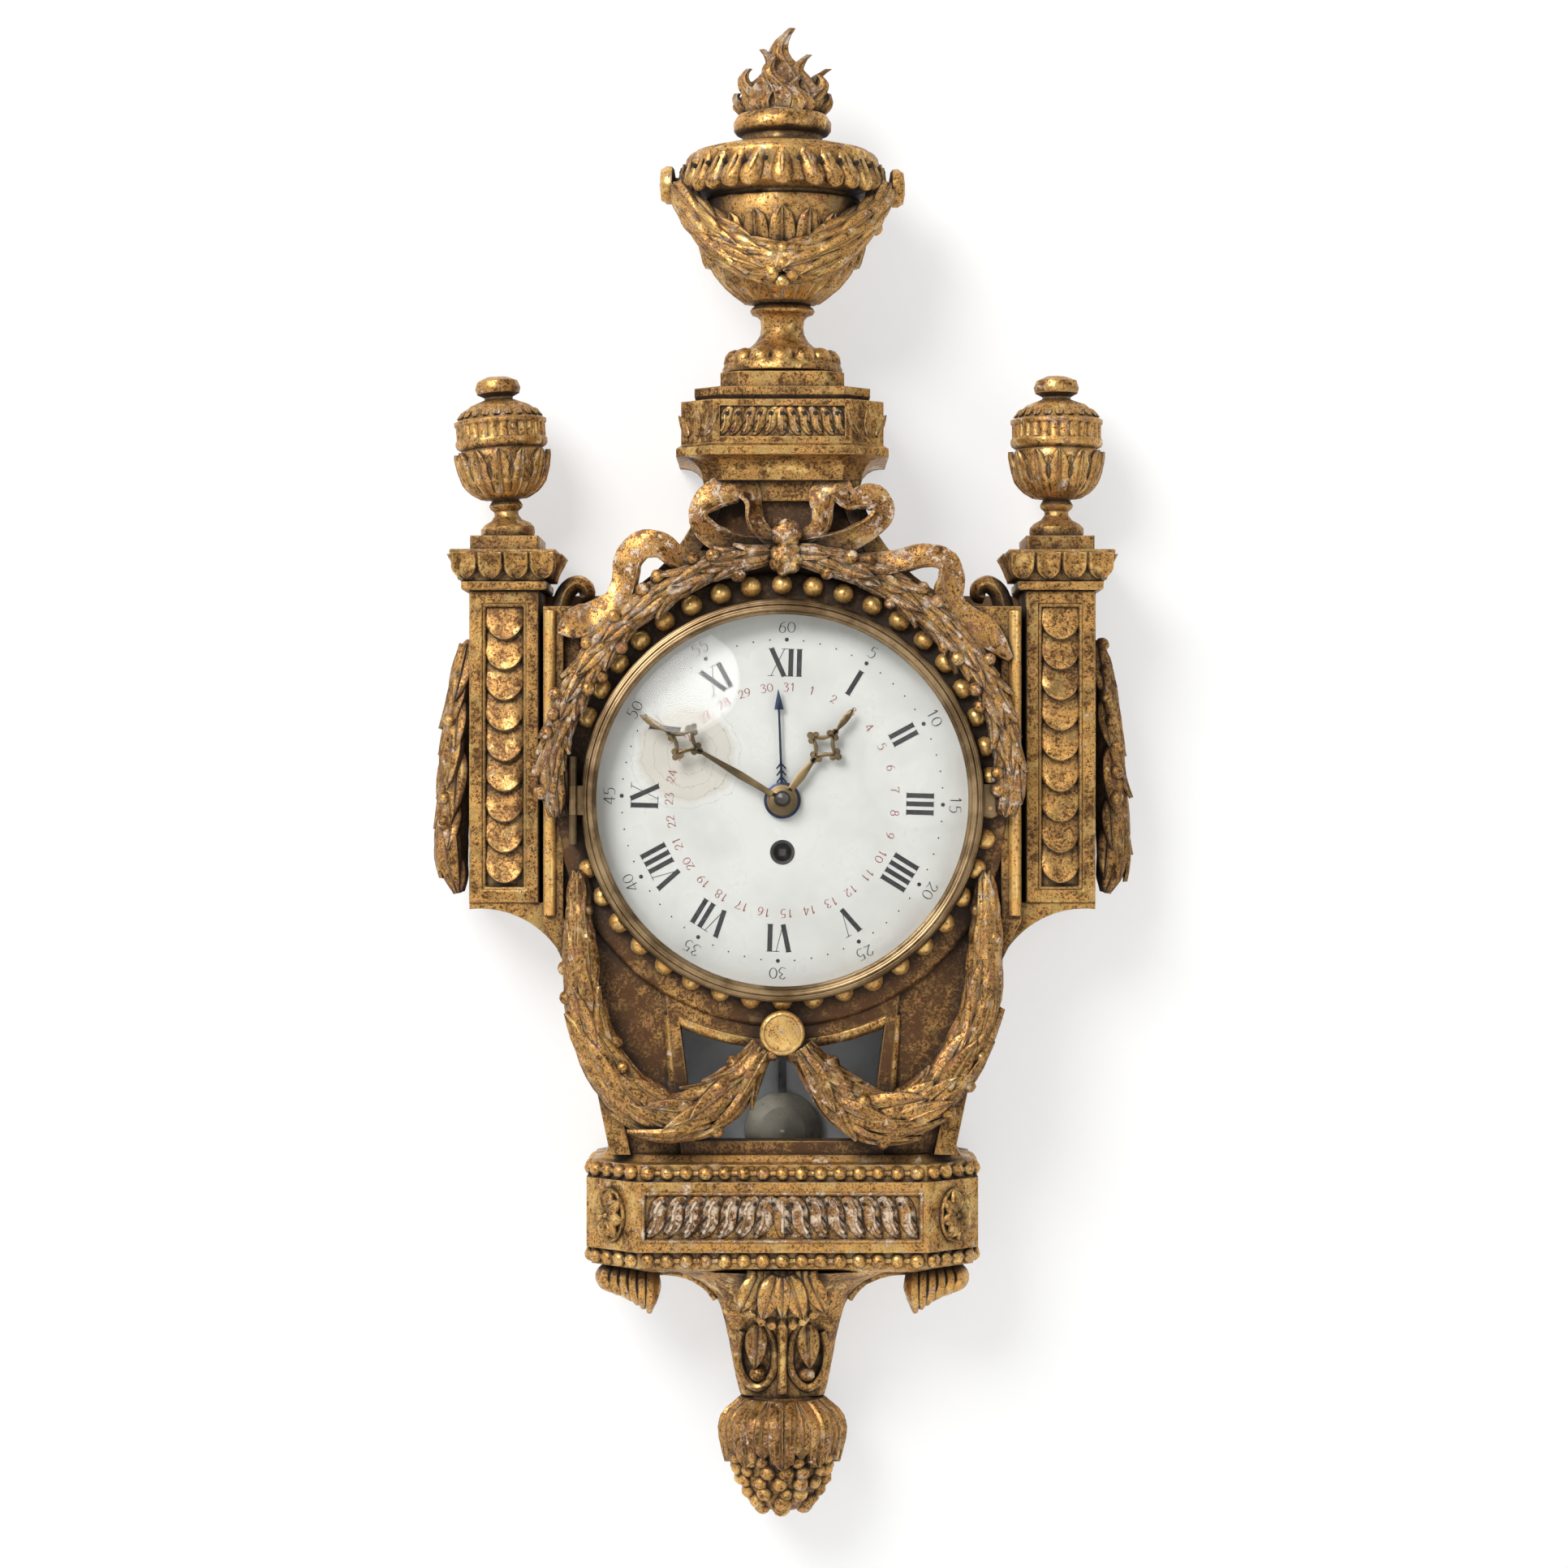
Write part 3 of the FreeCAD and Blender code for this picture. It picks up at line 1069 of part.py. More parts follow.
def make_pendulum_rod():
    back, front = PENDULUM_DEPTH - ROD_THICK / 2, PENDULUM_DEPTH + ROD_THICK / 2
    eye = rod(0, ANCHOR_Z, 5.0, back, front)
    flat = box(-ROD_WIDTH / 2, ROD_WIDTH / 2, BOB_Z, ANCHOR_Z, back, front)
    thread_foot = at(0, NUT_Z - 6.0, PENDULUM_DEPTH)
    thread = Part.makeCylinder(ROD_THICK * 0.75, BOB_Z - NUT_Z + 6.0, thread_foot, UP)
    return fused([eye, flat, thread]).cut(rod(0, ANCHOR_Z, STUD_R + RUN, back - 1, front + 1))


def make_bob():
    """Lens-shaped bob that slides on the rod and rests on the rating nut."""
    half = BOB_THICK / 2
    swell = half * 0.72
    edge = 0.8
    steps = [(0, PENDULUM_DEPTH - half), (BOB_R * 0.6, PENDULUM_DEPTH - swell),
             (BOB_R, PENDULUM_DEPTH - edge), (BOB_R, PENDULUM_DEPTH + edge),
             (BOB_R * 0.6, PENDULUM_DEPTH + swell), (0, PENDULUM_DEPTH + half)]
    return lathe(steps, 0, BOB_Z)


def make_nut():
    nut = Part.makeCylinder(NUT_R, NUT_THICK, at(0, NUT_Z, PENDULUM_DEPTH), UP)
    hole = Part.makeCylinder(ROD_THICK * 0.75 + RUN, NUT_THICK + 2, at(0, NUT_Z - 1, PENDULUM_DEPTH), UP)
    return nut.cut(hole)


# Assembly: pieces that meet are cut to fit one another
back_board = make_back_board().cut(hanger_pocket())
carcass = make_carcass()
panel = make_front_panel()
surround = make_surround().cut(carcass).cut(panel)
bezel = make_bezel()
hinge = make_hinge()
pilaster = make_pilaster()
pedestal = make_pedestal()
bowl = make_urn_bowl()
knob = make_knob().cut(bowl)
base = make_base()
console = make_console()
button = make_button().cut(panel).cut(surround)
knot = make_bow_knot()
bow = make_bow().cut(knot).cut(carcass).cut(surround)
rod_piece = make_pendulum_rod()
bracket = make_bracket()
scroll = make_shoulder_scroll().cut(carcass)
laurel = make_laurel().cut(bow).cut(knot)
festoon = make_festoon().cut(carcass).cut(panel).cut(surround).cut(button)
drop = make_side_drop().cut(pilaster)
rosette = make_rosette()
volute = make_volute().cut(console).cut(base)
upper_row = make_plinth_beads((BAND_TOP_Z + FOOT_Z - 5.0) / 2)
lower_row = make_plinth_beads((BAND_FOOT_Z + BASE_FOOT + 4.0) / 2)
plinth_beads = [one.cut(base) for one in upper_row + lower_row]

save("back_board", back_board)
save("case_carcass", carcass)
save("front_panel", panel)
save("wing_brackets", bracket, mirrored(bracket))
save("dial_surround", surround)
save("pilasters", pilaster, mirrored(pilaster))
save("capitals", make_capital(), mirrored(make_capital()))
save("side_urn_right", make_side_urn(PILASTER_MID, 0.0))
save("side_urn_left", make_side_urn(-PILASTER_MID, LEFT_URN_LEAN))
save("side_drops", drop, mirrored(drop))
save("shoulder_scrolls", scroll, mirrored(scroll))
save("pedestal", pedestal)
save("urn_foot", make_urn_foot())
save("urn_bowl", bowl)
save("urn_cover", make_urn_cover())
save("urn_flame", make_flame())
save("urn_knobs", knob, mirrored(knob))
save("urn_garland", make_urn_garland().cut(bowl).cut(knob).cut(mirrored(knob)))
save("ribbon_bow", bow)
save("bow_knot", knot)
save("laurel_branches", laurel, mirrored(laurel))
save("festoons", festoon, mirrored(festoon))
save("festoon_button", button)
save("base_plinth", base)
save("plinth_beads", *plinth_beads)
save("corner_rosettes", rosette, mirrored(rosette))
save("console", console)
save("console_leaf", make_console_leaf().cut(console).cut(base))
save("console_volutes", volute, mirrored(volute))
save("pendant", make_pendant())
save("hanger_plate", make_hanger())
save("window_glass", make_window_glass())
save("dial_seat_ring", make_seat_ring())
save("dial", make_dial())
save("bezel_hinge", hinge)
save("bezel", bezel)
save("bezel_glass", make_bezel_glass())
save("movement_back_plate", make_back_plate())
save("movement_front_plate", make_front_plate())
save("movement_drum", make_drum())
save("movement_straps", make_strap(), mirrored(make_strap()))
save("back_cock", make_cock())
save("winding_arbor", make_winding_arbor())
save("minute_arbor", make_minute_arbor())
save("minute_hand", make_minute_hand().cut(rod(0, 0, ARBOR_R, 0, MINUTE_HAND[1])))
save("hour_pipe", make_pipe(HOUR_WHEEL, ARBOR_R, HOUR_PIPE_R, HOUR_HAND[1]))
save("hour_hand", make_hour_hand().cut(rod(0, 0, HOUR_PIPE_R, 0, HOUR_HAND[1] + 1)))
save("date_pipe", make_pipe(DATE_WHEEL, HOUR_PIPE_R, DATE_PIPE_R, DATE_HAND[1]))
save("date_hand", make_date_hand().cut(rod(0, 0, DATE_PIPE_R, 0, DATE_HAND[1] + 1)))
save("crutch", make_crutch())
save("pendulum_rod", rod_piece)
save("pendulum_bob", make_bob().cut(rod_piece))
save("rating_nut", make_nut())
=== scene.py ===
"""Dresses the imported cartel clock: carved gilt wood, enamel dial, brass, glass and a plain wall.

Places are written in millimetres as point(x, z, depth), with depth measured from the wall and the
origin on the dial's axis. Carving.make() turns them into the frame's metres.
"""
import bpy
import bmesh
import math
import random
from mathutils import Matrix, Vector, noise


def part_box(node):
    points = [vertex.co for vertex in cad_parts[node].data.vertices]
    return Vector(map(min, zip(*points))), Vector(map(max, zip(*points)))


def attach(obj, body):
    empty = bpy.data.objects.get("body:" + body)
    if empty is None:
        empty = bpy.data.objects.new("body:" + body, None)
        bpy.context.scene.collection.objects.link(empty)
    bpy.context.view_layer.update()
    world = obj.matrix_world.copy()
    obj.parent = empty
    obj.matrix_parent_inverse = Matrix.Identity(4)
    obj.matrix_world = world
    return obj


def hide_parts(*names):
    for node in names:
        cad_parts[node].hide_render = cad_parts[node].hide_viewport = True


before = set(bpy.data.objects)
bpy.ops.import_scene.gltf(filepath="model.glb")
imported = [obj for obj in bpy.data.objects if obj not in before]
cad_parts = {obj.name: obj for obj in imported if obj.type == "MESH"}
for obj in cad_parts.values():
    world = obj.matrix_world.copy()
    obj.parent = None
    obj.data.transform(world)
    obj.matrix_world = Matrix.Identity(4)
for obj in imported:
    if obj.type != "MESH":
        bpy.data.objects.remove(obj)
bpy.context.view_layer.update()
MM = 0.001
FORWARD = Vector((0, -1, 0))
UP = Vector((0, 0, 1))
RIGHT = Vector((1, 0, 0))
BOTH_SIDES = (-1, 1)


def point(x, z, depth):
    return Vector((x, -depth, z))


def outward(turn, reach=1.0, z=0.0):
    """Step away from an upright axis, turn radians round to the right of the front, and up by z."""
    return Vector((reach * math.sin(turn), -reach * math.cos(turn), z))


def around(count):
    """The angles of even steps round a circle."""
    return [2 * math.pi * k / count for k in range(count)]


def depths(name):
    """Depths of a CAD node's back and front, in millimetres."""
    low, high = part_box(name)
    return -high.y / MM, -low.y / MM


# Shader building
class Graph:
    """A new material, with short ways to add and link its shader nodes."""

    def __init__(self, name):
        self.made = bpy.data.materials.new(name)
        self.made.use_nodes = True
        self.nodes = self.made.node_tree.nodes
        self.links = self.made.node_tree.links
        self.shader = self.nodes["Principled BSDF"]
        self.coords = self.add("TexCoord")["Object"]

    def feed(self, socket, value):
        """Links a socket to a value, or sets it; a tuple is a colour."""
        if isinstance(value, bpy.types.NodeSocket):
            self.links.new(value, socket)
        elif isinstance(value, tuple):
            socket.default_value = (*value, 1.0)
        else:
            socket.default_value = value

    def add(self, kind, feeds=None, **settings):
        """Outputs of a new node, with its settings made and its sockets fed."""
        node = self.nodes.new("ShaderNode" + kind)
        for name, value in settings.items():
            setattr(node, name, value)
        for socket, value in (feeds or {}).items():
            self.feed(node.inputs[socket], value)
        return node.outputs

    def set(self, **values):
        """Feeds the main shader's sockets, named in lower case."""
        for name, value in values.items():
            self.feed(self.shader.inputs[name.replace("_", " ").title().replace("Ior", "IOR")], value)

    def noise(self, scale, detail=4.0, rough=0.55, stretch=None):
        place = self.coords
        if stretch:
            place = self.add("Mapping", {"Vector": place, "Scale": Vector(stretch)})["Vector"]
        feeds = {"Vector": place, "Scale": scale, "Detail": detail, "Roughness": rough}
        return self.add("TexNoise", feeds)["Fac"]

    def math(self, kind, a, b):
        return self.add("Math", {0: a, 1: b}, operation=kind)[0]

    def plus(self, a, b):
        return self.math("ADD", a, b)

    def minus(self, a, b):
        return self.math("SUBTRACT", a, b)

    def times(self, a, b):
        return self.math("MULTIPLY", a, b)

    def most(self, first, *others):
        """The greatest of several values."""
        for other in others:
            first = self.math("MAXIMUM", first, other)
        return first

    def ramp(self, value, low, high, start=0.0, end=1.0):
        """Smooth change from start to end as value goes from low to high."""
        feeds = dict(enumerate((value, low, high, start, end)))
        return self.add("MapRange", feeds, interpolation_type="SMOOTHSTEP")[0]

    def mix(self, factor, a, b):
        return self.add("Mix", {0: factor, 6: a, 7: b}, data_type="RGBA")[2]

    def mottled(self, factor, colour, share):
        """A colour that changes to a share of itself, darker where share is below 1."""
        return self.mix(factor, colour, tuple(share * part for part in colour))

    def hollows(self, distance):
        """1 in deep hollows, 0 on open ground."""
        return self.minus(1.0, self.add("AmbientOcclusion", {"Distance": distance}, samples=4)["AO"])

    def edges(self, radius):
        """How sharply the surface turns within radius, and the normal rounded over that radius."""
        rounded = self.add("Bevel", {"Radius": radius}, samples=4)["Normal"]
        plain = self.add("NewGeometry")["Normal"]
        likeness = self.add("VectorMath", {0: rounded, 1: plain}, operation="DOT_PRODUCT")["Value"]
        return self.ramp(likeness, 0.985, 0.80), rounded

    def bump(self, height, strength, distance, normal=None):
        feeds = {"Height": height, "Strength": strength, "Distance": distance}
        if normal:
            feeds["Normal"] = normal
        self.feed(self.shader.inputs["Normal"], self.add("Bump", feeds)["Normal"])

    def blend(self, factor, below, above):
        """A shader between two others."""
        return self.add("MixShader", {0: factor, 1: below, 2: above})[0]

    def show(self, shader):
        """Puts a shader on the surface in place of the main one."""
        self.feed(self.nodes["Material Output"].inputs["Surface"], shader)


# Materials: colours are linear, lengths are metres
# burnished gold, also painted on sharp edges as a highlight
GOLD_BURNISH_AND_HIGHLIGHT = (0.98, 0.65, 0.22)
GOLD_LIGHT = (0.78, 0.425, 0.125)
GOLD_DARK = (0.115, 0.052, 0.020)
BOLE = (0.20, 0.066, 0.036)
GESSO = (0.63, 0.48, 0.33)
# dark brown of real dirt and of painted shade in the hollows and creases of the gilding
GRIME_AND_SHADE = (0.0186, 0.0099, 0.0056)
TARNISH = (0.06, 0.035, 0.015)
RUST = (0.05, 0.022, 0.012)
ENAMEL_LIGHT = (0.635, 0.64, 0.61)
ENAMEL_SHADE = (0.55, 0.55, 0.52)
ENAMEL_GRIME = (0.32, 0.25, 0.17)
ENAMEL_MEND = (0.46, 0.39, 0.29)
ENAMEL_CRACK = (0.10, 0.065, 0.04)
EDGE = 0.0014                # how far from an edge the leaf is rubbed, and painted brighter as a highlight
CREASE = 0.004               # how far round a crease the grime and painted shade lie, and the tarnish on brass
MEND_MIDDLE = point(-57.5, 27.0, 91.0) * MM
RING_GAP = 0.0034            # between the hair cracks round the mended patch


def gilt(name, wear, gesso, darken=0.0, reach=0.018, shine=0.88, polish=0.8):
    """Old water gilding: leaf rubbed to red bole, chipped to gesso, with grime and painted shade darkening
    the hollows within reach, and a painted highlight on its edges.

    darken lowers its tone (below 0 it raises it), shine is how metallic the sound leaf is, and polish how
    far it is burnished.
    """
    g = Graph(name)
    mottle = g.noise(120.0, 6.0, 0.65)
    specks = g.noise(560.0, 5.0, 0.7)
    turn, normal = g.edges(EDGE)
    hollow = g.hollows(reach)
    crease = g.hollows(min(reach, CREASE))
    fine = g.plus(g.times(mottle, 0.26), g.times(specks, 0.54))
    tone = g.plus(g.times(g.noise(16.0, 4.0, 0.6), 0.20), fine)
    gold = g.mix(g.ramp(tone, 0.44 + darken, 0.56 + darken), GOLD_DARK, GOLD_LIGHT)
    burnish = g.ramp(g.noise(75.0, 8.0, 0.72), 0.52 + darken, 0.60 + darken)
    # painted highlight: sharp edges turn bright gold, as do random burnished patches
    burnish_and_highlight = g.most(turn, g.times(burnish, polish))
    gold = g.mix(g.times(burnish_and_highlight, 0.85), gold, GOLD_BURNISH_AND_HIGHLIGHT)
    rubbed = g.plus(mottle, g.times(turn, 0.14))
    bole = g.ramp(rubbed, 0.66 - 0.14 * wear, 0.76 - 0.14 * wear, 0.0, 0.85)
    proud = g.minus(g.times(turn, 0.08), g.times(hollow, 0.12))
    chipped = g.plus(g.noise(150.0, 8.0, 0.70), proud)
    fringe = g.ramp(chipped, 0.645 - 0.20 * gesso, 0.675 - 0.20 * gesso, 0.0, 0.8)
    bare = g.ramp(chipped, 0.68 - 0.20 * gesso, 0.71 - 0.20 * gesso)
    # painted shade: hollows and creases darken towards grime; the dark specks are real dirt
    dirt_and_shade = g.most(g.ramp(hollow, 0.12, 0.52, 0.0, 0.97), g.ramp(crease, 0.14, 0.46, 0.0, 0.95),
                  g.ramp(specks, 0.555, 0.62, 0.0, 0.9))
    colour = g.mix(fringe, g.mix(bole, gold, BOLE), BOLE)
    colour = g.mix(dirt_and_shade, g.mix(bare, colour, GESSO), GRIME_AND_SHADE)
    matt = g.most(bole, fringe, bare, g.times(dirt_and_shade, 0.8))
    g.set(base_color=colour, metallic=g.ramp(matt, 0.0, 1.0, shine, 0.0),
          roughness=g.plus(g.ramp(burnish, 0.0, 1.0, 0.42, 0.24), g.times(matt, 0.4)))
    height = g.plus(g.times(mottle, 0.7), g.times(specks, 0.3))
    g.bump(g.minus(height, g.times(bare, 0.5)), 0.45, 0.0007, normal)
    return g.made


def aged_brass(name, light, dark, rough):
    """Dull lacquered brass with finger marks and dark spots."""
    g = Graph(name)
    cloud = g.noise(35.0, 5.0, 0.6)
    spots = g.noise(420.0, 4.0, 0.6)
    colour = g.mix(g.ramp(cloud, 0.35, 0.68), dark, light)
    tarnish = g.most(g.ramp(spots, 0.62, 0.72, 0.0, 0.7),
                     g.ramp(g.hollows(CREASE), 0.22, 0.58, 0.0, 0.85))
    g.set(base_color=g.mix(tarnish, colour, TARNISH), metallic=1.0,
          roughness=g.ramp(cloud, 0.3, 0.7, rough, rough + 0.16))
    g.bump(spots, 0.2, 0.0002)
    return g.made


def blued_steel(name, colour):
    """Dark steel with a little rust."""
    g = Graph(name)
    cloud = g.noise(60.0, 4.0, 0.6)
    rust = g.ramp(g.noise(240.0, 5.0, 0.65), 0.60, 0.70, 0.0, 0.6)
    tint = g.mottled(g.ramp(cloud, 0.3, 0.7), colour, 0.55)
    g.set(base_color=g.mix(rust, tint, RUST), metallic=0.9, roughness=g.ramp(cloud, 0.3, 0.7, 0.3, 0.5))
    g.bump(g.noise(900.0, 2.0), 0.15, 0.0001)
    return g.made


def enamel(name):
    """White enamel, faintly uneven, with hair cracks and a tan mended patch beside ten o'clock."""
    g = Graph(name)
    cloud = g.noise(22.0, 4.0, 0.55)
    colour = g.mix(g.ramp(cloud, 0.35, 0.7), ENAMEL_LIGHT, ENAMEL_SHADE)
    grime = g.ramp(g.noise(160.0, 6.0, 0.7), 0.66, 0.76, 0.0, 0.35)
    colour = g.mix(grime, colour, ENAMEL_GRIME)
    far = g.add("VectorMath", {0: g.coords, 1: MEND_MIDDLE}, operation="DISTANCE")["Value"]
    ragged = g.plus(far, g.times(g.noise(55.0, 5.0, 0.6), 0.016))
    colour = g.mix(g.ramp(ragged, 0.034, 0.039, 0.42, 0.0), colour, ENAMEL_MEND)
    rings = g.ramp(g.math("PINGPONG", ragged, RING_GAP), 0.00022, 0.0)
    cracks = g.times(rings, g.ramp(ragged, 0.05, 0.036))
    colour = g.mix(g.times(cracks, 0.5), colour, ENAMEL_CRACK)
    g.set(base_color=colour, roughness=g.ramp(cloud, 0.3, 0.7, 0.24, 0.36), coat_weight=0.25)
    g.bump(g.minus(cloud, g.times(cracks, 0.4)), 0.12, 0.0004)
    return g.made


def paint(name, colour):
    """Printing ink on the dial, worn thin in places."""
    g = Graph(name)
    thin = g.ramp(g.noise(900.0, 5.0, 0.7), 0.55, 0.75, 0.0, 0.35)
    g.set(base_color=g.mix(thin, colour, tuple(0.2 + part for part in colour)), roughness=0.5)
    return g.made


def clear_glass(name, tint):
    """Thin glass, smeared here and there, that lets light through without a dark shadow."""
    g = Graph(name)
    smear = g.ramp(g.noise(18.0, 4.0, 0.6), 0.35, 0.75, 0.0, 0.05)
    g.set(base_color=tint, roughness=smear, transmission_weight=1.0, ior=1.2)
    rays = g.add("LightPath")
    soft = g.most(rays["Is Shadow Ray"], rays["Is Diffuse Ray"])
    g.show(g.blend(soft, g.shader.outputs[0], g.add("BsdfTransparent")[0]))
    return g.made


def old_wood(name, light, dark):
    """Bare pine, darkened by age, with its grain upright."""
    g = Graph(name)
    grain = g.noise(60.0, 6.0, 0.65, stretch=(1.0, 1.0, 0.06))
    fibre = g.noise(420.0, 3.0, 0.6, stretch=(1.0, 1.0, 0.04))
    stain = g.ramp(g.noise(9.0, 4.0, 0.6), 0.45, 0.75, 0.0, 0.7)
    colour = g.mix(g.ramp(grain, 0.35, 0.65), light, dark)
    colour = g.mix(stain, colour, tuple(0.4 * part for part in dark))
    g.set(base_color=colour, roughness=g.ramp(fibre, 0.3, 0.7, 0.65, 0.85))
    g.bump(g.plus(grain, g.times(fibre, 0.5)), 0.4, 0.0008)
    return g.made


def painted_board(name, colour):
    """Distemper laid on with a brush."""
    g = Graph(name)
    shade = g.mottled(g.ramp(g.noise(16.0, 5.0, 0.65), 0.3, 0.7), colour, 0.72)
    g.set(base_color=shade, roughness=0.85)
    g.bump(g.noise(90.0, 4.0, 0.6, stretch=(1.0, 1.0, 0.1)), 0.2, 0.0006)
    return g.made


GILT = gilt("gilding", wear=0.35, gesso=0.10)
# darker copy of the gilding: painted shade for the recessed front panel and the ring behind the bezel
GILT_SHADED = gilt("gilding_shaded", wear=0.3, gesso=0.05, darken=0.048, shine=0.7, polish=0.2)
GILT_PLAIN = gilt("gilding_plain", wear=0.4, gesso=0.10, darken=0.008, polish=0.35)
# lighter copy of the gilding with little shade in its hollows, painted to look lit, for the beads round
# the bezel, the button and the side rails
GILT_LIT = gilt("gilding_lit", wear=0.4, gesso=0.2, darken=-0.06, reach=0.0035, shine=0.62)
GILT_WORN = gilt("gilding_worn", wear=0.6, gesso=0.44, darken=-0.016)
GILT_AGED = gilt("gilding_aged", wear=0.72, gesso=0.40, darken=0.014)
GILT_FLAKED = gilt("gilding_flaked", wear=0.8, gesso=0.96)
GILT_CHIPPED = gilt("gilding_chipped", wear=0.85, gesso=0.66)
BRASS = aged_brass("brass_dull", light=(0.36, 0.25, 0.13), dark=(0.15, 0.098, 0.05), rough=0.30)
BEZEL_BRASS = aged_brass("brass_brown", light=(0.42, 0.29, 0.155), dark=(0.15, 0.095, 0.048), rough=0.30)
HAND_BRASS = aged_brass("brass_dark", light=(0.20, 0.14, 0.07), dark=(0.085, 0.06, 0.032), rough=0.36)
BOB_METAL = aged_brass("bob_metal", light=(0.34, 0.30, 0.24), dark=(0.20, 0.18, 0.145), rough=0.45)
STEEL = blued_steel("steel_blued", (0.035, 0.05, 0.09))
IRON = blued_steel("iron_dark", (0.09, 0.085, 0.08))
ENAMEL = enamel("enamel_white")
BLACK_INK = paint("ink_black", (0.012, 0.011, 0.012))
RED_INK = paint("ink_red", (0.24, 0.045, 0.035))
GLASS = clear_glass("glass_clear", (0.985, 0.99, 0.985))
PANE = clear_glass("glass_old", (0.93, 0.95, 0.95))
WOOD = old_wood("wood_back", light=(0.20, 0.115, 0.055), dark=(0.09, 0.048, 0.022))
LINING = painted_board("lining_grey", (0.84, 0.85, 0.88))
# near-black dots set where the carving is drilled, painted to stand for the shade in the holes
HOLE_SHADE = painted_board("painted_hole_shade", (0.02, 0.012, 0.007))


# Carving tools: a section lists (share of the half width, share of the height) across a form
LEAF_SECTION = ((-1, -0.2), (-0.9, 0.52), (-0.5, 0.78), (-0.14, 0.62), (0, 0.95), (0.14, 0.62),
                (0.5, 0.78), (0.9, 0.52), (1, -0.2), (0, -0.5))
CUTS_COARSE, CUTS_FINE = 190.0, 520.0    # per metre: how close the waves of the chisel lie


class Carving:
    """Collects the faces of one piece, in millimetres, then makes it an object that rides on a body."""

    def __init__(self):
        self.points = []
        self.faces = []

    def rows(self, rows, ends=True):
        """A skin over rows of points, each row a ring; ends closes the first and the last."""
        start = len(self.points)
        wide = len(rows[0])
        for row in rows:
            self.points.extend(row)
        for i in range(len(rows) - 1):
            for j in range(wide):
                a = start + i * wide + j
                b = start + i * wide + (j + 1) % wide
                self.faces.append((a, b, b + wide, a + wide))
        if ends:
            last = start + (len(rows) - 1) * wide
            self.faces.append(tuple(range(start, start + wide))[::-1])
            self.faces.append(tuple(range(last, last + wide)))

    def mirror(self):
        """Adds the same carving on the other side of the clock."""
        start = len(self.points)
        self.points += [Vector((-p.x, p.y, p.z)) for p in self.points]
        self.faces += [tuple(k + start for k in reversed(face)) for face in self.faces]

    def make(self, name, surface, body="case", replaces=(), angle=38.0, uneven=0.0):
        """Makes the piece; uneven is the height of its chisel marks, and nothing goes into the wall."""
        mesh = bpy.data.meshes.new(name)
        mesh.from_pydata([p * MM for p in self.points], [], self.faces)
        shaped = bmesh.new()
        shaped.from_mesh(mesh)
        bmesh.ops.recalc_face_normals(shaped, faces=shaped.faces)
        if uneven:
            shaped.normal_update()
            for vert in shaped.verts:
                wave = noise.noise(vert.co * CUTS_COARSE) + 0.5 * noise.noise(vert.co * CUTS_FINE)
                vert.co += vert.normal * (wave * uneven * MM)
        for vert in shaped.verts:
            vert.co.y = min(vert.co.y, 0.0)
        shaped.to_mesh(mesh)
        shaped.free()
        mesh.polygons.foreach_set("use_smooth", [True] * len(mesh.polygons))
        mesh.set_sharp_from_angle(angle=math.radians(angle))
        mesh.materials.append(surface)
        made = bpy.data.objects.new(name, mesh)
        bpy.context.scene.collection.objects.link(made)
        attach(made, body)
        if replaces:
            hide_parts(*replaces)


def curve(points, count):
    """Points spread evenly along a smooth line through the given ones (tuples or vectors of any size)."""
    given = [Vector(p) for p in points]
    given = [2 * given[0] - given[1]] + given + [2 * given[-1] - given[-2]]
    spans = len(given) - 3
    made = []
    for k in range(count):
        at = spans * k / (count - 1)
        i = min(int(at), spans - 1)
        t = at - i
        a, b, c, d = given[i:i + 4]
        made.append(0.5 * (2 * b + (c - a) * t + (2 * a - 5 * b + 4 * c - d) * t * t
                           + (3 * b - a - 3 * c + d) * t * t * t))
    return made


def fitted(path, radii, count):
    """A smooth path with its radii, through given points of (x, z, depth)."""
    line = curve([point(*p) for p in path], count)
    sizes = [v.x for v in curve([(r, 0.0) for r in radii], count)]
    return line, sizes


def distances(path):
    """How far each point of a path lies from its start."""
    far = [0.0]
    for a, b in zip(path, path[1:]):
        far.append(far[-1] + (b - a).length)
    return far


def span_at(far, distance):
    """Number of the span at a distance along a path, and the share of that span gone by."""
    i = max(j for j in range(len(far) - 1) if far[j] <= distance)
    return i, (distance - far[i]) / (far[i + 1] - far[i])


def heading(path, k):
    """Direction of a path of vectors at its point k."""
    return (path[min(k + 1, len(path) - 1)] - path[max(k - 1, 0)]).normalized()


def frames(path, facing):
    """(point, along, side, out) down a path; out keeps as near as it can to facing (one, or one each)."""
    made = []
    for k, p in enumerate(path):
        along = heading(path, k)
        side = along.cross(facing[k] if isinstance(facing, list) else facing)
        side = side.normalized() if side.length > 1e-6 else along.orthogonal().normalized()
        made.append((p, along, side, side.cross(along).normalized()))
    return made


def tube(carving, path, radii, facing=FORWARD, sides=10, flat=1.0):
    """A round limb; flat below 1 presses it down along its facing, above 1 makes it stand out."""
    rows = []
    for (p, _, side, out), r in zip(frames(path, facing), radii):
        rows.append([p + (side * math.cos(a) + out * (flat * math.sin(a))) * r for a in around(sides)])
    carving.rows(rows)


def band(carving, path, facing, widths, thick, hollow=0.0):
    """A flat ribbon whose flat side looks along facing; hollow dishes its middle."""
    rows = []
    for (p, _, side, out), wide in zip(frames(path, facing), widths):
        w = side * (wide / 2)
        t = out * (thick / 2)
        dish = out * hollow
        rows.append([p - w - t, p - w * 0.9 + t, p - w * 0.6 + t - dish, p + t - dish * 1.4,
                     p + w * 0.6 + t - dish, p + w * 0.9 + t, p + w - t, p - t - dish])
    carving.rows(rows)


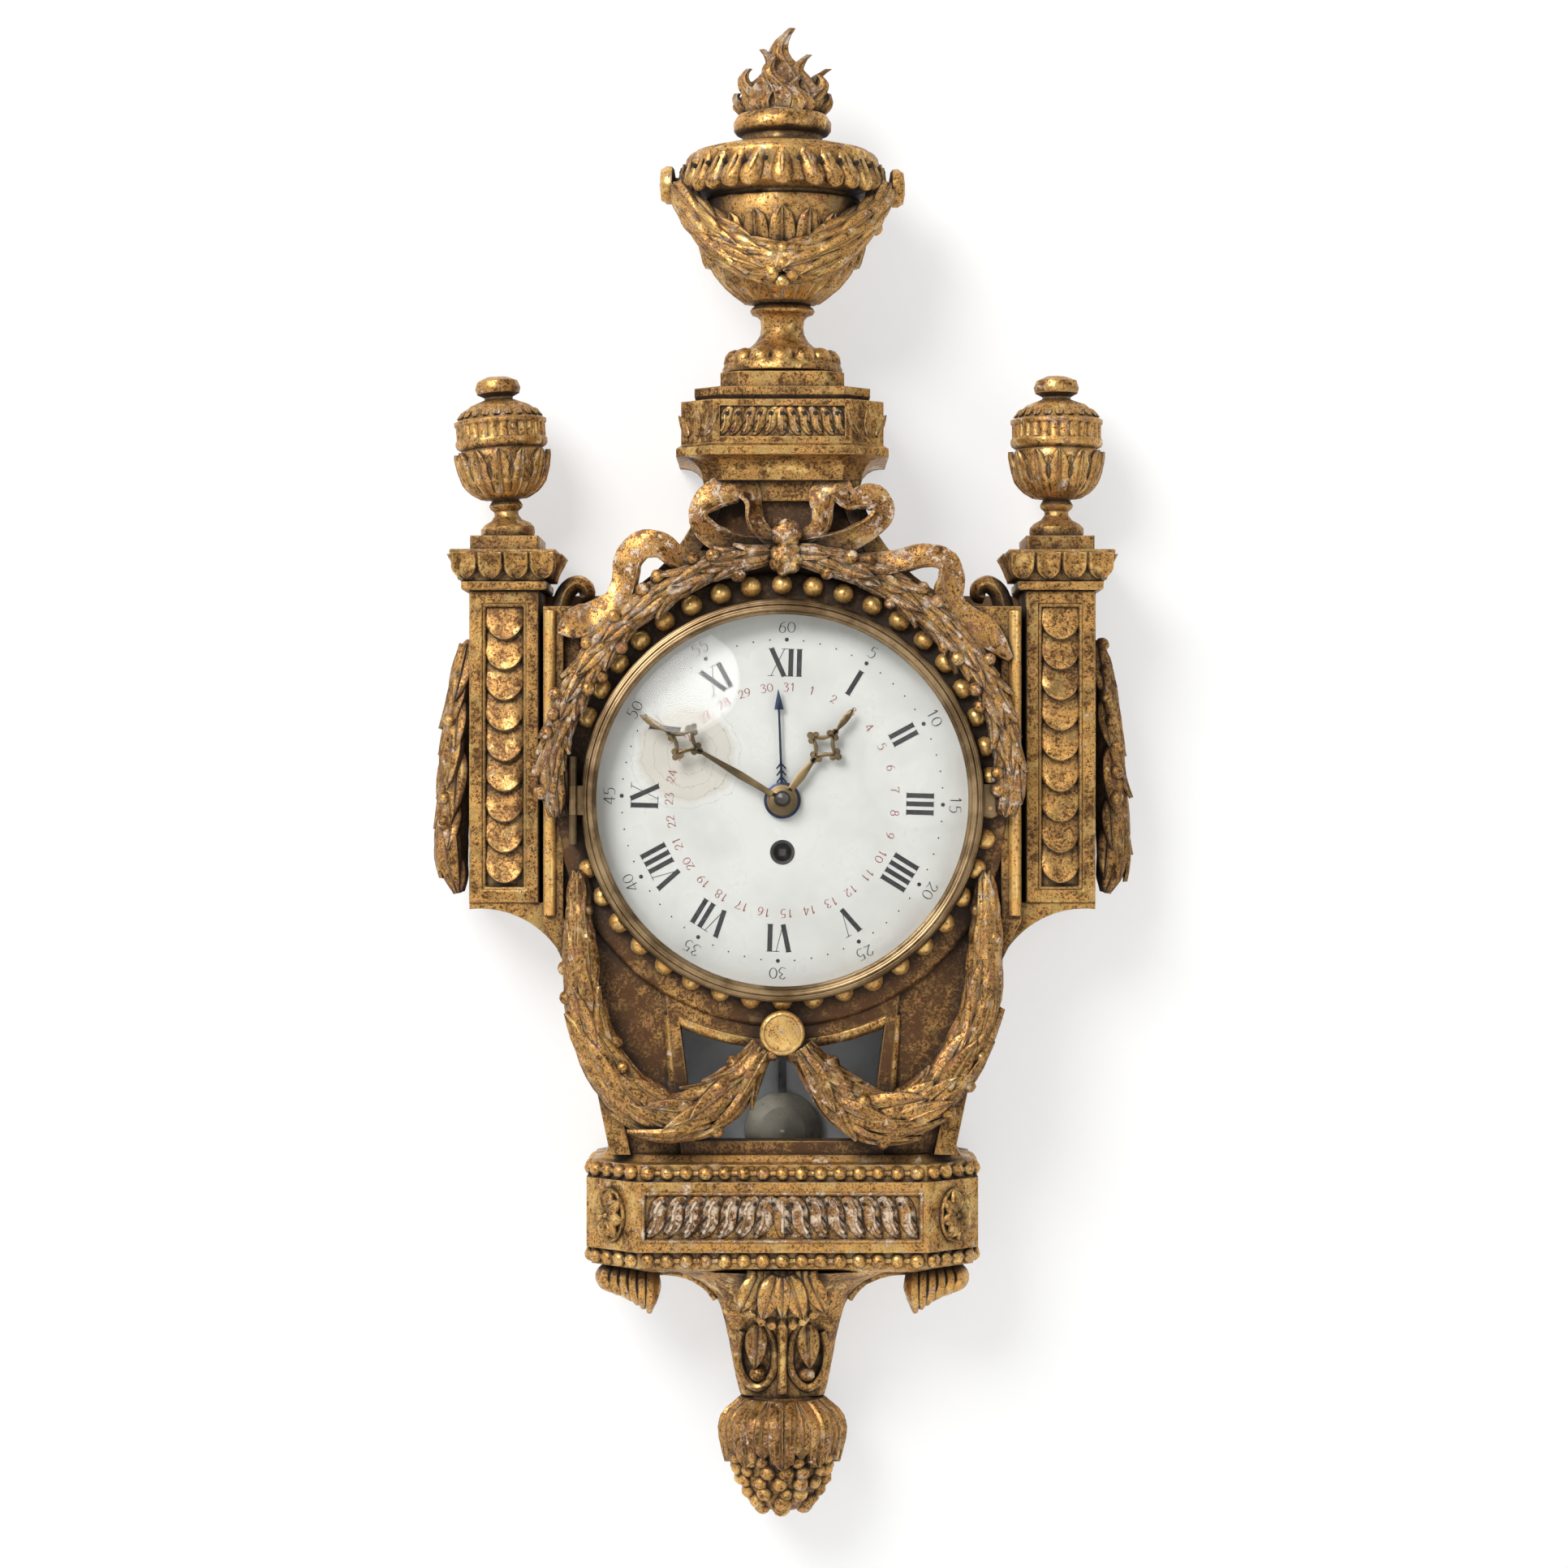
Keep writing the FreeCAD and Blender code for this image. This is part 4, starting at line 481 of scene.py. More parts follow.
def leaf(carving, root, along, out, long, wide, thick, curl=0.0, lift=0.0, steps=6):
    """A pointed leaf with a midrib and raised edges, arched by lift and bent out by curl at its tip."""
    along = along.normalized()
    side = along.cross(out).normalized()
    out = side.cross(along).normalized()
    rows = []
    for k in range(steps):
        t = k / (steps - 1)
        half = wide / 2 * (0.16 + 0.84 * math.sin(math.pi * min(0.985, 0.06 + 0.94 * t ** 0.8)) ** 0.85)
        if k == steps - 1:
            half = wide * 0.03
        p = root + along * (long * t) + out * (lift * math.sin(math.pi * t) + curl * t * t)
        high = thick * (1.0 - 0.55 * t)
        rows.append([p + side * (half * share) + out * (high * rise) for share, rise in LEAF_SECTION])
    carving.rows(rows)


def pearl(carving, centre, r, out=FORWARD, rings=5, sides=10, squash=1.0):
    """A berry or bead; squash flattens it along out."""
    out = out.normalized()
    across = out.orthogonal().normalized()
    side = out.cross(across)
    rows = []
    for k in range(rings + 1):
        turn = math.pi * (0.04 + 0.92 * k / rings)
        ring = r * math.sin(turn)
        lift = -out * (r * squash * math.cos(turn))
        spokes = [across * math.cos(a) + side * math.sin(a) for a in around(sides)]
        rows.append([centre + lift + spoke * ring for spoke in spokes])
    carving.rows(rows)


def spin(carving, profile, centre, axis=UP, sides=48, ripple=None, tilt=None, ring=False):
    """A turned form of (radius, height) steps; ripple(turn, step) scales the radius to carve ribs.

    A ring's profile runs all round its section and closes on itself.
    """
    across = RIGHT if abs(axis.x) < 0.9 else UP
    side = axis.cross(across)
    rows = []
    for k, (r, high) in enumerate(profile):
        row = []
        for a in around(sides):
            reach = r * (ripple(a, k) if ripple else 1.0)
            offset = axis * high + (across * math.cos(a) + side * math.sin(a)) * reach
            row.append(centre + (tilt @ offset if tilt else offset))
        rows.append(row)
    carving.rows(rows + rows[:1] if ring else rows, ends=not ring)


def box(carving, x0, x1, z0, z1, back, front, chamfer):
    """A board with the edges of its front eased towards its middle."""
    middle = Vector(((x0 + x1) / 2, (z0 + z1) / 2))
    rows = []
    for depth, shrink in ((back, 0.0), (front - chamfer, 0.0), (front, chamfer)):
        row = []
        for x, z in ((x0, z0), (x1, z0), (x1, z1), (x0, z1)):
            pull = (middle - Vector((x, z))).normalized() * shrink
            row.append(point(x + pull.x, z + pull.y, depth))
        rows.append(row)
    carving.rows(rows)


def gadroons(count, deep, first, last):
    """Ripple for spin: rounded ribs between the steps first and last, with narrow grooves."""
    def shrink(turn, step):
        if not first <= step <= last:
            return 1.0
        return 1.0 - deep * (1.0 - abs(math.cos(turn * count / 2)) ** 0.6)
    return shrink


# Dial print, drawn as raised ink on the enamel's dome
DIAL_R = 113.0
DIAL_EDGE = 88.0
DIAL_CROWN = 3.5
DIAL_TURN = 1.6              # degrees: the dial sits turned a little clockwise
DATE_TURN = 3.7              # degrees: where the last date stands
INK = 0.12                   # thickness of the ink
INK_FOOT = -0.05             # how far it goes into the enamel
HOUR_IN, HOUR_OUT = 73.8, 90.5
DOT_RING = 95.8
MINUTE_RING = 103.2
DATE_RING = 67.5
BROAD, HAIR, SERIF = 2.9, 0.4, 0.35    # widths of the strokes of the hours
SERIF_HALF = 1.9
SERIF_IN = 0.3               # from a stroke's end to its serif
LETTER_EDGE = 1.3            # from an outer stroke's end to the edge of the letter's space
V_FOOT = 0.2
DOT_R, FIVE_DOT_R = 0.5, 1.25
FIGURE_PITCH = 0.62          # share of a figure's height to the next one
FIGURE_MIDDLE = 0.4
ROMAN = ["XII", "I", "II", "III", "IIII", "V", "VI", "VII", "VIII", "IX", "X", "XI"]
ROMAN_WIDE = {"I": 5.0, "V": 10.2, "X": 10.6}
# Old-style figures in a box one unit high: strokes of points, or a ring (x, z, half width, half height)
FIGURES = {
    "0": [("ring", 0.30, 0.40, 0.25, 0.36)],
    "1": [[(0.16, 0.62), (0.30, 0.78), (0.30, 0.05)]],
    "2": [[(0.08, 0.58), (0.22, 0.78), (0.46, 0.70), (0.44, 0.46), (0.08, 0.06)],
          [(0.08, 0.06), (0.32, 0.10), (0.54, 0.04)]],
    "3": [[(0.08, 0.66), (0.26, 0.80), (0.46, 0.66), (0.26, 0.44)],
          [(0.26, 0.44), (0.52, 0.28), (0.36, 0.0), (0.06, 0.06)]],
    "4": [[(0.40, 0.80), (0.02, 0.24)], [(0.02, 0.24), (0.58, 0.24)], [(0.40, 0.80), (0.40, 0.0)]],
    "5": [[(0.50, 0.80), (0.16, 0.78)], [(0.16, 0.78), (0.13, 0.48)],
          [(0.13, 0.46), (0.40, 0.50), (0.50, 0.24), (0.32, 0.0), (0.06, 0.06)]],
    "6": [[(0.48, 0.78), (0.20, 0.60), (0.09, 0.26)], ("ring", 0.30, 0.24, 0.21, 0.23)],
    "7": [[(0.06, 0.68), (0.10, 0.78), (0.54, 0.78)], [(0.54, 0.78), (0.30, 0.40), (0.24, 0.0)]],
    "8": [("ring", 0.30, 0.60, 0.18, 0.18), ("ring", 0.30, 0.21, 0.22, 0.22)],
    "9": [("ring", 0.30, 0.55, 0.21, 0.23), [(0.51, 0.52), (0.40, 0.20), (0.12, 0.02)]],
}


def dial_depth(r):
    ball = (DIAL_R ** 2 + DIAL_CROWN ** 2) / (2 * DIAL_CROWN)
    return DIAL_EDGE + DIAL_CROWN - ball + math.sqrt(ball * ball - r * r)


def turned_point(turn, x, z, depth):
    """Point of a sign or hand turned clockwise by some degrees; x and z are its own across and up."""
    a = math.radians(turn)
    return point(z * math.sin(a) + x * math.cos(a), z * math.cos(a) - x * math.sin(a), depth)


def on_dial(turn, x, z, lift):
    return turned_point(turn, x, z, dial_depth(math.hypot(x, z)) + lift)


def half_across(line, k, wide):
    """Step of (x, z) from point k of a flat line to the edge of a stroke of that width."""
    along = heading([Vector(p) for p in line], k)
    return -along.y * wide / 2, along.x * wide / 2


def stroke(carving, turn, radius, line, widths):
    """A pen stroke along points (x, z) of a sign, with the nib's width at each."""
    rows = []
    for k, (x, z) in enumerate(line):
        sx, sz = half_across(line, k, widths[k])
        left, right = (x + sx, radius + z + sz), (x - sx, radius + z - sz)
        rows.append([on_dial(turn, *left, INK_FOOT), on_dial(turn, *right, INK_FOOT),
                     on_dial(turn, *right, INK), on_dial(turn, *left, INK)])
    carving.rows(rows)


def pen(carving, turn, radius, line, thick, thin, count):
    """A curved stroke that swells where it runs up and down, as from a broad pen."""
    path = curve(line, count)
    widths = [thin + (thick - thin) * abs(heading(path, k).y) ** 1.6 for k in range(count)]
    stroke(carving, turn, radius, path, widths)


def figure(carving, sign, turn, radius, x, high, thick, thin):
    for mark in FIGURES[sign]:
        if mark[0] == "ring":
            _, cx, cz, half_x, half_z = mark
            turns = around(16) + [2 * math.pi]
            mark = [(cx + half_x * math.cos(a), cz + half_z * math.sin(a)) for a in turns]
        line = [(x + high * px, high * (pz - FIGURE_MIDDLE)) for px, pz in mark]
        pen(carving, turn, radius, line, thick, thin, 18 if len(line) > 2 else 3)


def number(carving, value, turn, radius, high, thick, thin):
    """A number standing with its feet towards the dial's centre."""
    signs = str(value)
    x = -high * FIGURE_PITCH * len(signs) / 2
    for sign in signs:
        figure(carving, sign, turn, radius, x, high, thick, thin)
        x += high * FIGURE_PITCH


def roman(carving, signs, turn):
    """An hour in Roman letters with hairline serifs."""
    high = HOUR_OUT - HOUR_IN
    foot, top = SERIF_IN, high - SERIF_IN
    x = -sum(ROMAN_WIDE[sign] for sign in signs) / 2
    for sign in signs:
        middle = x + ROMAN_WIDE[sign] / 2
        span = ROMAN_WIDE[sign] / 2 - LETTER_EDGE
        left, right = middle - span, middle + span
        if sign == "I":
            lines = [((middle, foot), (middle, top), BROAD)]
            serifs = [(middle, foot), (middle, top)]
        elif sign == "V":
            lines = [((left, high), (middle, V_FOOT), BROAD), ((right, high), (middle, V_FOOT), HAIR)]
            serifs = [(left, top), (right, top)]
        else:
            lines = [((left, high), (right, 0.0), BROAD), ((right, high), (left, 0.0), HAIR)]
            serifs = [(left, foot), (left, top), (right, foot), (right, top)]
        lines += [((sx - SERIF_HALF, sz), (sx + SERIF_HALF, sz), SERIF) for sx, sz in serifs]
        for start, end, wide in lines:
            stroke(carving, turn, HOUR_IN, [start, end], [wide, wide])
        x += ROMAN_WIDE[sign]


def make_dial_print():
    black = Carving()
    for hour, signs in enumerate(ROMAN):
        roman(black, signs, 30 * hour + DIAL_TURN)
    for minute in range(60):
        r = DOT_R if minute % 5 else FIVE_DOT_R
        ring = [(r * math.cos(a), DOT_RING + r * math.sin(a)) for a in around(10)]
        turn = 6 * minute + DIAL_TURN
        black.rows([[on_dial(turn, x, z, lift) for x, z in ring] for lift in (INK_FOOT, INK)])
    for five in range(1, 13):
        number(black, 5 * five, 30 * five + DIAL_TURN, MINUTE_RING, high=8.6, thick=0.62, thin=0.26)
    black.make("dial_hours_and_minutes", BLACK_INK)
    red = Carving()
    for day in range(1, 32):
        number(red, day, DATE_TURN + 360 * day / 31, DATE_RING, high=6.4, thick=0.55, thin=0.26)
    red.make("dial_dates", RED_INK)


# Hands: pierced brass for the time, a blued arrow for the date; a hand is its (back, front) depths
HOUR_TURN, MINUTE_TURN, DATE_HAND_TURN = 37.8, 300.9, -2.1    # degrees at rest
EASE = 0.25                  # chamfer of a hand's edges
SQUARE_INSET = 3.0           # from the ends of a hand's pierced part to the corners of its square
OVERLAP = 2                  # how far a stem runs into the hub and into the square


def bar(carving, turn, hand, line, widths):
    """A flat bar of a hand along points (x, z), with eased front edges."""
    back, front = hand
    section = ((1, back), (-1, back), (-1, front - EASE), (-0.7, front), (0.7, front), (1, front - EASE))
    rows = []
    for k, (x, z) in enumerate(line):
        sx, sz = half_across(line, k, widths[k])
        rows.append([turned_point(turn, x + sx * part, z + sz * part, depth) for part, depth in section])
    carving.rows(rows)


def disc(carving, turn, hand, x, z, r):
    back, front = hand
    thick = front - back
    profile = [(r, 0), (r, thick - 0.3), (r - 0.3, thick)]
    spin(carving, profile, turned_point(turn, x, z, back), FORWARD, 16)


def pierced_hand(carving, turn, hand, hub, square_in, square_out, reach, stem):
    """Tapering stem, an open square set cornerwise with trefoils at its corners, and a leafy tip."""
    middle = (square_in + square_out) / 2
    half = (square_out - square_in) / 2 - SQUARE_INSET
    start, long = hub - OVERLAP, square_in - hub + 2 * OVERLAP
    stem_line = [(0, start + long * t) for t in (0.0, 0.2, 0.45, 0.75, 1.0)]
    bar(carving, turn, hand, stem_line, [stem * share for share in (1.2, 1.4, 1.7, 1.1, 0.7)])
    corners = [(0, middle - half), (half, middle), (0, middle + half), (-half, middle)]
    for a, b in zip(corners, corners[1:] + corners[:1]):
        bow = ((a[0] + b[0]) * 0.44, middle + (a[1] + b[1] - 2 * middle) * 0.44)
        bar(carving, turn, hand, [a, bow, b], [2.0, 2.6, 2.0])
    for x, z in corners:
        away = Vector((x, z - middle)).normalized()
        across = Vector((away.y, -away.x))
        for step in (away * 2.6, across * 2.1, -across * 2.1):
            disc(carving, turn, hand, x + step.x, z + step.y, 2.0)
    top = middle + half
    tip = [(0, top + (reach - top) * share) for share in (0.0, 0.25, 0.5, 0.72, 0.9, 1.0)]
    bar(carving, turn, hand, tip, [2.4, 2.0, 4.2, 4.4, 2.4, 0.4])


def make_time_hand(body, turn, hub, square_in, square_out, reach, stem, hub_ring, sides):
    node = body + "_hand"
    hand = depths(node)
    made = Carving()
    pierced_hand(made, turn, hand, hub, square_in, square_out, reach, stem)
    spin(made, hub_ring, point(0, 0, hand[0]), FORWARD, sides, ring=True)
    made.make(node + "_pierced", HAND_BRASS, body, [node])


def make_hands():
    make_time_hand("hour", HOUR_TURN, hub=9.0, square_in=29.8, square_out=51.8, reach=69.0, stem=3.2,
                   hub_ring=[(9.2, 0), (9.2, 0.9), (8.6, 1.2), (3.3, 1.2), (3.3, 0)], sides=40)
    make_time_hand("minute", MINUTE_TURN, hub=7.0, square_in=56.6, square_out=78.6, reach=98.5, stem=2.8,
                   hub_ring=[(7.4, 0), (7.4, 0.8), (6.6, 1.2), (2.1, 1.2), (2.1, 0)], sides=36)
    hand = depths("date_hand")
    date = Carving()
    bar(date, DATE_HAND_TURN, hand, [(0, 10), (0, 16), (0, 56)], [1.6, 1.5, 1.2])
    bar(date, DATE_HAND_TURN, hand, [(0, 54), (0, 56.5), (0, 66)], [5.6, 4.6, 0.3])
    for z in (14.0, 18.0, 22.0):
        for side in BOTH_SIDES:
            bar(date, DATE_HAND_TURN, hand, [(0, z), (side * 2.8, z - 3.2)], [1.2, 0.9])
    hub_ring = [(11.0, 0), (11.0, 0.7), (10.4, 1.0), (4.5, 1.0), (4.5, 0)]
    spin(date, hub_ring, point(0, 0, hand[0]), FORWARD, 40, ring=True)
    date.make("date_hand_arrow", STEEL, "date", ["date_hand"])


# Bezel: (radius, depth) steps over its face, and back under them inside the solid
BEZEL_FACE = [(119.2, 93.2), (119.2, 101.0), (117.6, 106.0), (114.1, 108.2), (112.5, 106.7),
              (110.4, 104.4)]
BEZEL_BED = [(110.6, 103.0), (112.6, 105.0), (114.0, 106.6), (117.0, 104.8), (118.4, 100.8),
             (118.4, 93.2)]
REED = 2.3
REED_HIGH = 0.8
REED_STEPS = 5
WINDING_Z = -31.0
WINDING_BUSH = [(6.45, 86.6), (7.4, 91.4), (7.0, 91.75), (5.6, 91.6), (5.6, 86.6)]


def make_bezel_turnings():
    """Fine turned reeds on the bezel, a hair outside its solid, and the bush of the winding hole."""
    outline = []
    for (r0, d0), (r1, d1) in zip(BEZEL_FACE, BEZEL_FACE[1:]):
        long = math.hypot(r1 - r0, d1 - d0)
        count = max(1, round(long / REED))
        away_r, away_d = (d1 - d0) / long, (r0 - r1) / long
        for k in range(REED_STEPS * count):
            t = k / (REED_STEPS * count)
            bulge = REED_HIGH * abs(math.sin(math.pi * t * count)) ** 0.5
            outline.append((r0 + (r1 - r0) * t + away_r * bulge, d0 + (d1 - d0) * t + away_d * bulge))
    ring = Carving()
    spin(ring, outline + BEZEL_BED, point(0, 0, 0), FORWARD, 180, ring=True)
    ring.make("bezel_turnings", BEZEL_BRASS, "bezel_door", angle=25)
    hole = Carving()
    spin(hole, WINDING_BUSH, point(0, WINDING_Z, 0), FORWARD, 32, ring=True)
    hole.make("winding_hole_bush", IRON)


make_dial_print()
make_hands()
make_bezel_turnings()


# Garlands: laurel branches, festoons and side drops
LAUREL_BED = 92.0            # depth of the beads that the laurel lies on
# Stations of the laurel are (degrees up from the right, distance out, radius)
LAUREL_STATIONS = [(88, 147, 5.0), (78, 145, 7.0), (64, 143, 7.8), (48, 141, 7.8), (32, 140, 7.8),
                   (16, 138.5, 7.6), (4, 136.5, 7.0), (-4, 134, 3.5)]
FESTOON = [(10, -145, 95), (20, -160, 95), (37, -181, 96), (65, -191, 97), (96, -171, 96),
           (115, -136, 94), (121, -92, 93), (121, -42, 91)]
FESTOON_RADII = [5.5, 8.0, 11.0, 12.5, 11.8, 9.2, 6.6, 2.2]
SIDE_DROP = [(190, 97, 44), (193, 75, 44), (196, 35, 44), (198, -8, 44), (199, -34, 44), (197, -48, 44),
             (195, -56, 44)]
SIDE_DROP_RADII = [3.5, 6.5, 9.0, 10.5, 11.0, 8.5, 2.5]
FOUR_LEAVES = (-75, -25, 25, 75)       # degrees round a garland from its front
STAGGER = 18                 # degrees that every other ring of leaves is turned by
LAST_TURN = 1.6              # radians: leaves farther round would lie on the wall's side
SHORTEST_LEAF = 6.0


class Rope:
    """The middle line of a garland, with its thickness and its frame at any distance along it."""

    def __init__(self, path, radii, facing):
        self.axes = frames(path, facing)
        self.radii = radii
        self.far = distances(path)
        self.long = self.far[-1]

    def at(self, far, turn, share):
        """Point at a distance along, turn radians round from the front and a share of the radius out.

        With it go the way out, the way along and the radius there.
        """
        i, t = span_at(self.far, min(max(far, 0.0), self.long - 1e-6))
        middle, along, side, out = (a.lerp(b, t) for a, b in zip(self.axes[i], self.axes[i + 1]))
        r = self.radii[i] + (self.radii[i + 1] - self.radii[i]) * t
        radial = (out * math.cos(turn) + side * math.sin(turn)).normalized()
        return middle + radial * (r * share), radial, along.normalized(), r


def garland(carving, path, radii, draw, facing, long, wide, pitch, spread, tip, berry, core):
    """A rope of long overlapping leaves that hug a path, with berries along its edges.

    spread places the leaves round it in degrees, tip lifts their ends, berry is the chance of one at each
    pitch, and core is the share of the radius that the plain rope under the leaves takes up.
    """
    tube(carving, path, [r * core for r in radii], facing, 12)
    rope = Rope(path, radii, facing)
    for k in range(int(rope.long / pitch)):
        far = pitch * (k + 0.2)
        for degrees in spread:
            turn = math.radians(degrees + (STAGGER if k % 2 else 0) + draw.uniform(-9, 9))
            size = draw.uniform(0.82, 1.18)
            drift = draw.uniform(-0.2, 0.2)
            lifted = draw.uniform(0.1, 0.5) * tip
            if abs(turn) > LAST_TURN:
                continue
            root, radial, along, r = rope.at(far, turn, core * 0.9)
            size *= 0.55 + 0.45 * min(1.0, r / 8.0)
            reach = long * size
            end, _, _, _ = rope.at(far + reach, turn + drift, core + lifted)
            middle, _, _, _ = rope.at(far + reach / 2, turn + drift / 2, core + 0.1)
            if (end - root).length < SHORTEST_LEAF:
                end = root + along * reach * 0.6
            run = end - root
            lift = (middle - (root + end) / 2).dot(radial) + 1.4
            leaf(carving, root, run, radial, run.length, wide * size, 5.2 * size, lift=lift, steps=7)
        if draw.random() < berry:
            turn = math.radians(draw.choice(BOTH_SIDES) * draw.uniform(35, 85))
            spot, radial, _, _ = rope.at(far, turn, 1.0)
            pearl(carving, spot + radial * 1.6, draw.uniform(3.8, 5.0), radial)


def tie(carving, path, radii, facing, share, skew, wide=5.0):
    """A ribbon wrapped slantwise over the front of a garland, share of the way along it."""
    rope = Rope(path, radii, facing)
    line, outs = [], []
    for degrees in range(-108, 109, 18):
        turn = math.radians(degrees)
        spot, radial, _, _ = rope.at(rope.long * share + skew * math.sin(turn), turn, 1.1)
        line.append(spot)
        outs.append(radial)
    band(carving, line, outs, [wide] * len(line), 2.2)


def make_garlands(name, node, surface, path, radii, count, seed, uneven, sideways=False, **leaves):
    """A garland on each side of the clock, with different leaves; sideways ones stand off its flanks."""
    whole = Carving()
    for side in BOTH_SIDES:
        line, sizes = fitted([(side * x, z, depth) for x, z, depth in path], radii, count)
        facing = RIGHT * side if sideways else FORWARD
        garland(whole, line, sizes, random.Random(seed + side), facing, **leaves)
    whole.make(name, surface, replaces=[node], uneven=uneven)


def laurel_path():
    path = []
    for degrees, r, thick in LAUREL_STATIONS:
        a = math.radians(degrees)
        path.append((r * math.cos(a), r * math.sin(a), LAUREL_BED + thick))
    return path


make_garlands("laurel_leaves", "laurel_branches", GILT_CHIPPED, laurel_path(),
              [thick for _, _, thick in LAUREL_STATIONS], 36, 11, 0.35,
              long=26.0, wide=10.5, pitch=11.0, spread=(-66, 0, 66), tip=2.1, berry=0.8, core=0.5)
make_garlands("festoon_leaves", "festoons", GILT_AGED, FESTOON, FESTOON_RADII, 56, 23, 0.35,
              long=42.0, wide=15.5, pitch=17.0, spread=FOUR_LEAVES, tip=1.7, berry=0.9, core=0.68)
make_garlands("side_drop_leaves", "side_drops", GILT_AGED, SIDE_DROP, SIDE_DROP_RADII, 34, 37, 0.3, True,
              long=38.0, wide=14.5, pitch=15.5, spread=FOUR_LEAVES, tip=1.6, berry=0.9, core=0.7)


# Urns: profiles are (radius, height) steps
URN_DEPTH = 60.0
URN_AXIS = point(0, 0, URN_DEPTH)
URN_FOOT = [(33, 255.6), (36, 257.5), (36.3, 260), (35, 262.5), (31, 265), (29.5, 269), (26, 271.5),
            (20, 273), (16, 276.5), (13.3, 281), (12.6, 286), (13.2, 290), (15.5, 292.5), (18.6, 293.6),
            (19.6, 295.3), (18.6, 297.2), (16.5, 298.6)]
URN_BOWL = [(16.5, 298.6), (19, 300), (24, 303.5), (31, 309), (37.5, 316), (42.6, 325), (46, 335),
            (48, 345), (49, 354), (48.6, 360), (46.6, 361.6), (46.4, 363.4), (52, 364.6), (56.4, 367),
            (57.4, 370), (57, 374), (57, 382), (57.9, 383.4), (58.0, 386.4), (56.5, 388.5)]
URN_COVER = [(54.5, 388.5), (53, 390.6), (44, 393), (30, 395.4), (24.6, 397), (24, 398.6), (24.4, 401),
             (27.8, 402.4), (29.4, 404.4), (29.6, 409), (28.2, 411.4), (26.8, 413.5)]
# The knobs lie on their sides, so their heights are distances from the urn's axis
KNOB = [(4.6, 46), (4.6, 64.5), (9.6, 65.2), (11.4, 66.6), (11.5, 69.8), (10.2, 71.6), (9.4, 73.2),
        (4.0, 74)]
KNOB_Z = {-1: 371.9, 1: 369.9}         # by side
BAND_LEAVES = 13             # each side of the middle one; the back of the band stays plain
BAND_PITCH = 12.4            # degrees
BAND_TOP, BAND_HIGH = 385.5, 21.5
WRAP_SECTION = ((-1, -0.15), (-0.86, 0.6), (-0.5, 0.8), (-0.16, 0.55), (0, 1.0), (0.16, 0.55), (0.5, 0.8),
                (0.86, 0.6), (1, -0.15))


def radius_at(profile, z):
    """Radius of a turned profile at height z."""
    for (r0, z0), (r1, z1) in zip(profile, profile[1:]):
        if z0 <= z <= z1 and z1 > z0:
            return r0 + (r1 - r0) * (z - z0) / (z1 - z0)
    return profile[-1][0] if z > profile[-1][1] else profile[0][0]


def wrap_leaf(carving, profile, centre, turn, z0, z1, wide, thick, tilt=None, steps=8, lobes=0, droop=0.0):
    """A leaf that lies on a turned form from z0 to its tip at z1, turn degrees round from the front.

    lobes notches its edges, and droop lets its tip stand off the form.
    """
    rows = []
    for k in range(steps):
        t = k / (steps - 1)
        z = z0 + (z1 - z0) * t
        r = radius_at(profile, z)
        half = wide / 2 * (0.35 + 0.65 * math.sin(math.pi * min(1.0, 0.12 + 0.85 * t)) ** 0.7)
        if lobes:
            half *= 1.0 - 0.22 * abs(math.sin(math.pi * lobes * t))
        if k == steps - 1:
            half = wide * 0.04
        row = []
        for share, lift in WRAP_SECTION:
            a = math.radians(turn) + share * half / max(r, 6.0)
            offset = outward(a, r + thick * lift * (1.0 - 0.35 * t) + droop * t * t, z)
            row.append(centre + (tilt @ offset if tilt else offset))
        rows.append(row)
    carving.rows(rows)


def make_urn_foot_and_bowl():
    foot = Carving()
    spin(foot, URN_FOOT, URN_AXIS, sides=56)
    for a in around(14):
        place = URN_AXIS + outward(a, 30.0, 264.8)
        pearl(foot, place, 7.2, outward(a, z=0.45), rings=6, sides=12, squash=0.8)
    foot.make("urn_foot_bosses", GILT, replaces=["urn_foot"], uneven=0.25)
    bowl = Carving()
    spin(bowl, URN_BOWL, URN_AXIS, sides=160)
    for k in range(20):
        wrap_leaf(bowl, URN_BOWL, URN_AXIS, 18.0 * k, z0=300.5, z1=334, wide=14.0, thick=3.8, steps=9)
    for k in range(-5, 6):
        tip = 352 - 1.2 * abs(k)
        wrap_leaf(bowl, URN_BOWL, URN_AXIS, 19.0 * k, z0=322, z1=tip, wide=17.0, thick=6.0, steps=9)
    bowl.make("urn_bowl_leaves", GILT_WORN, replaces=["urn_bowl"], uneven=0.25)


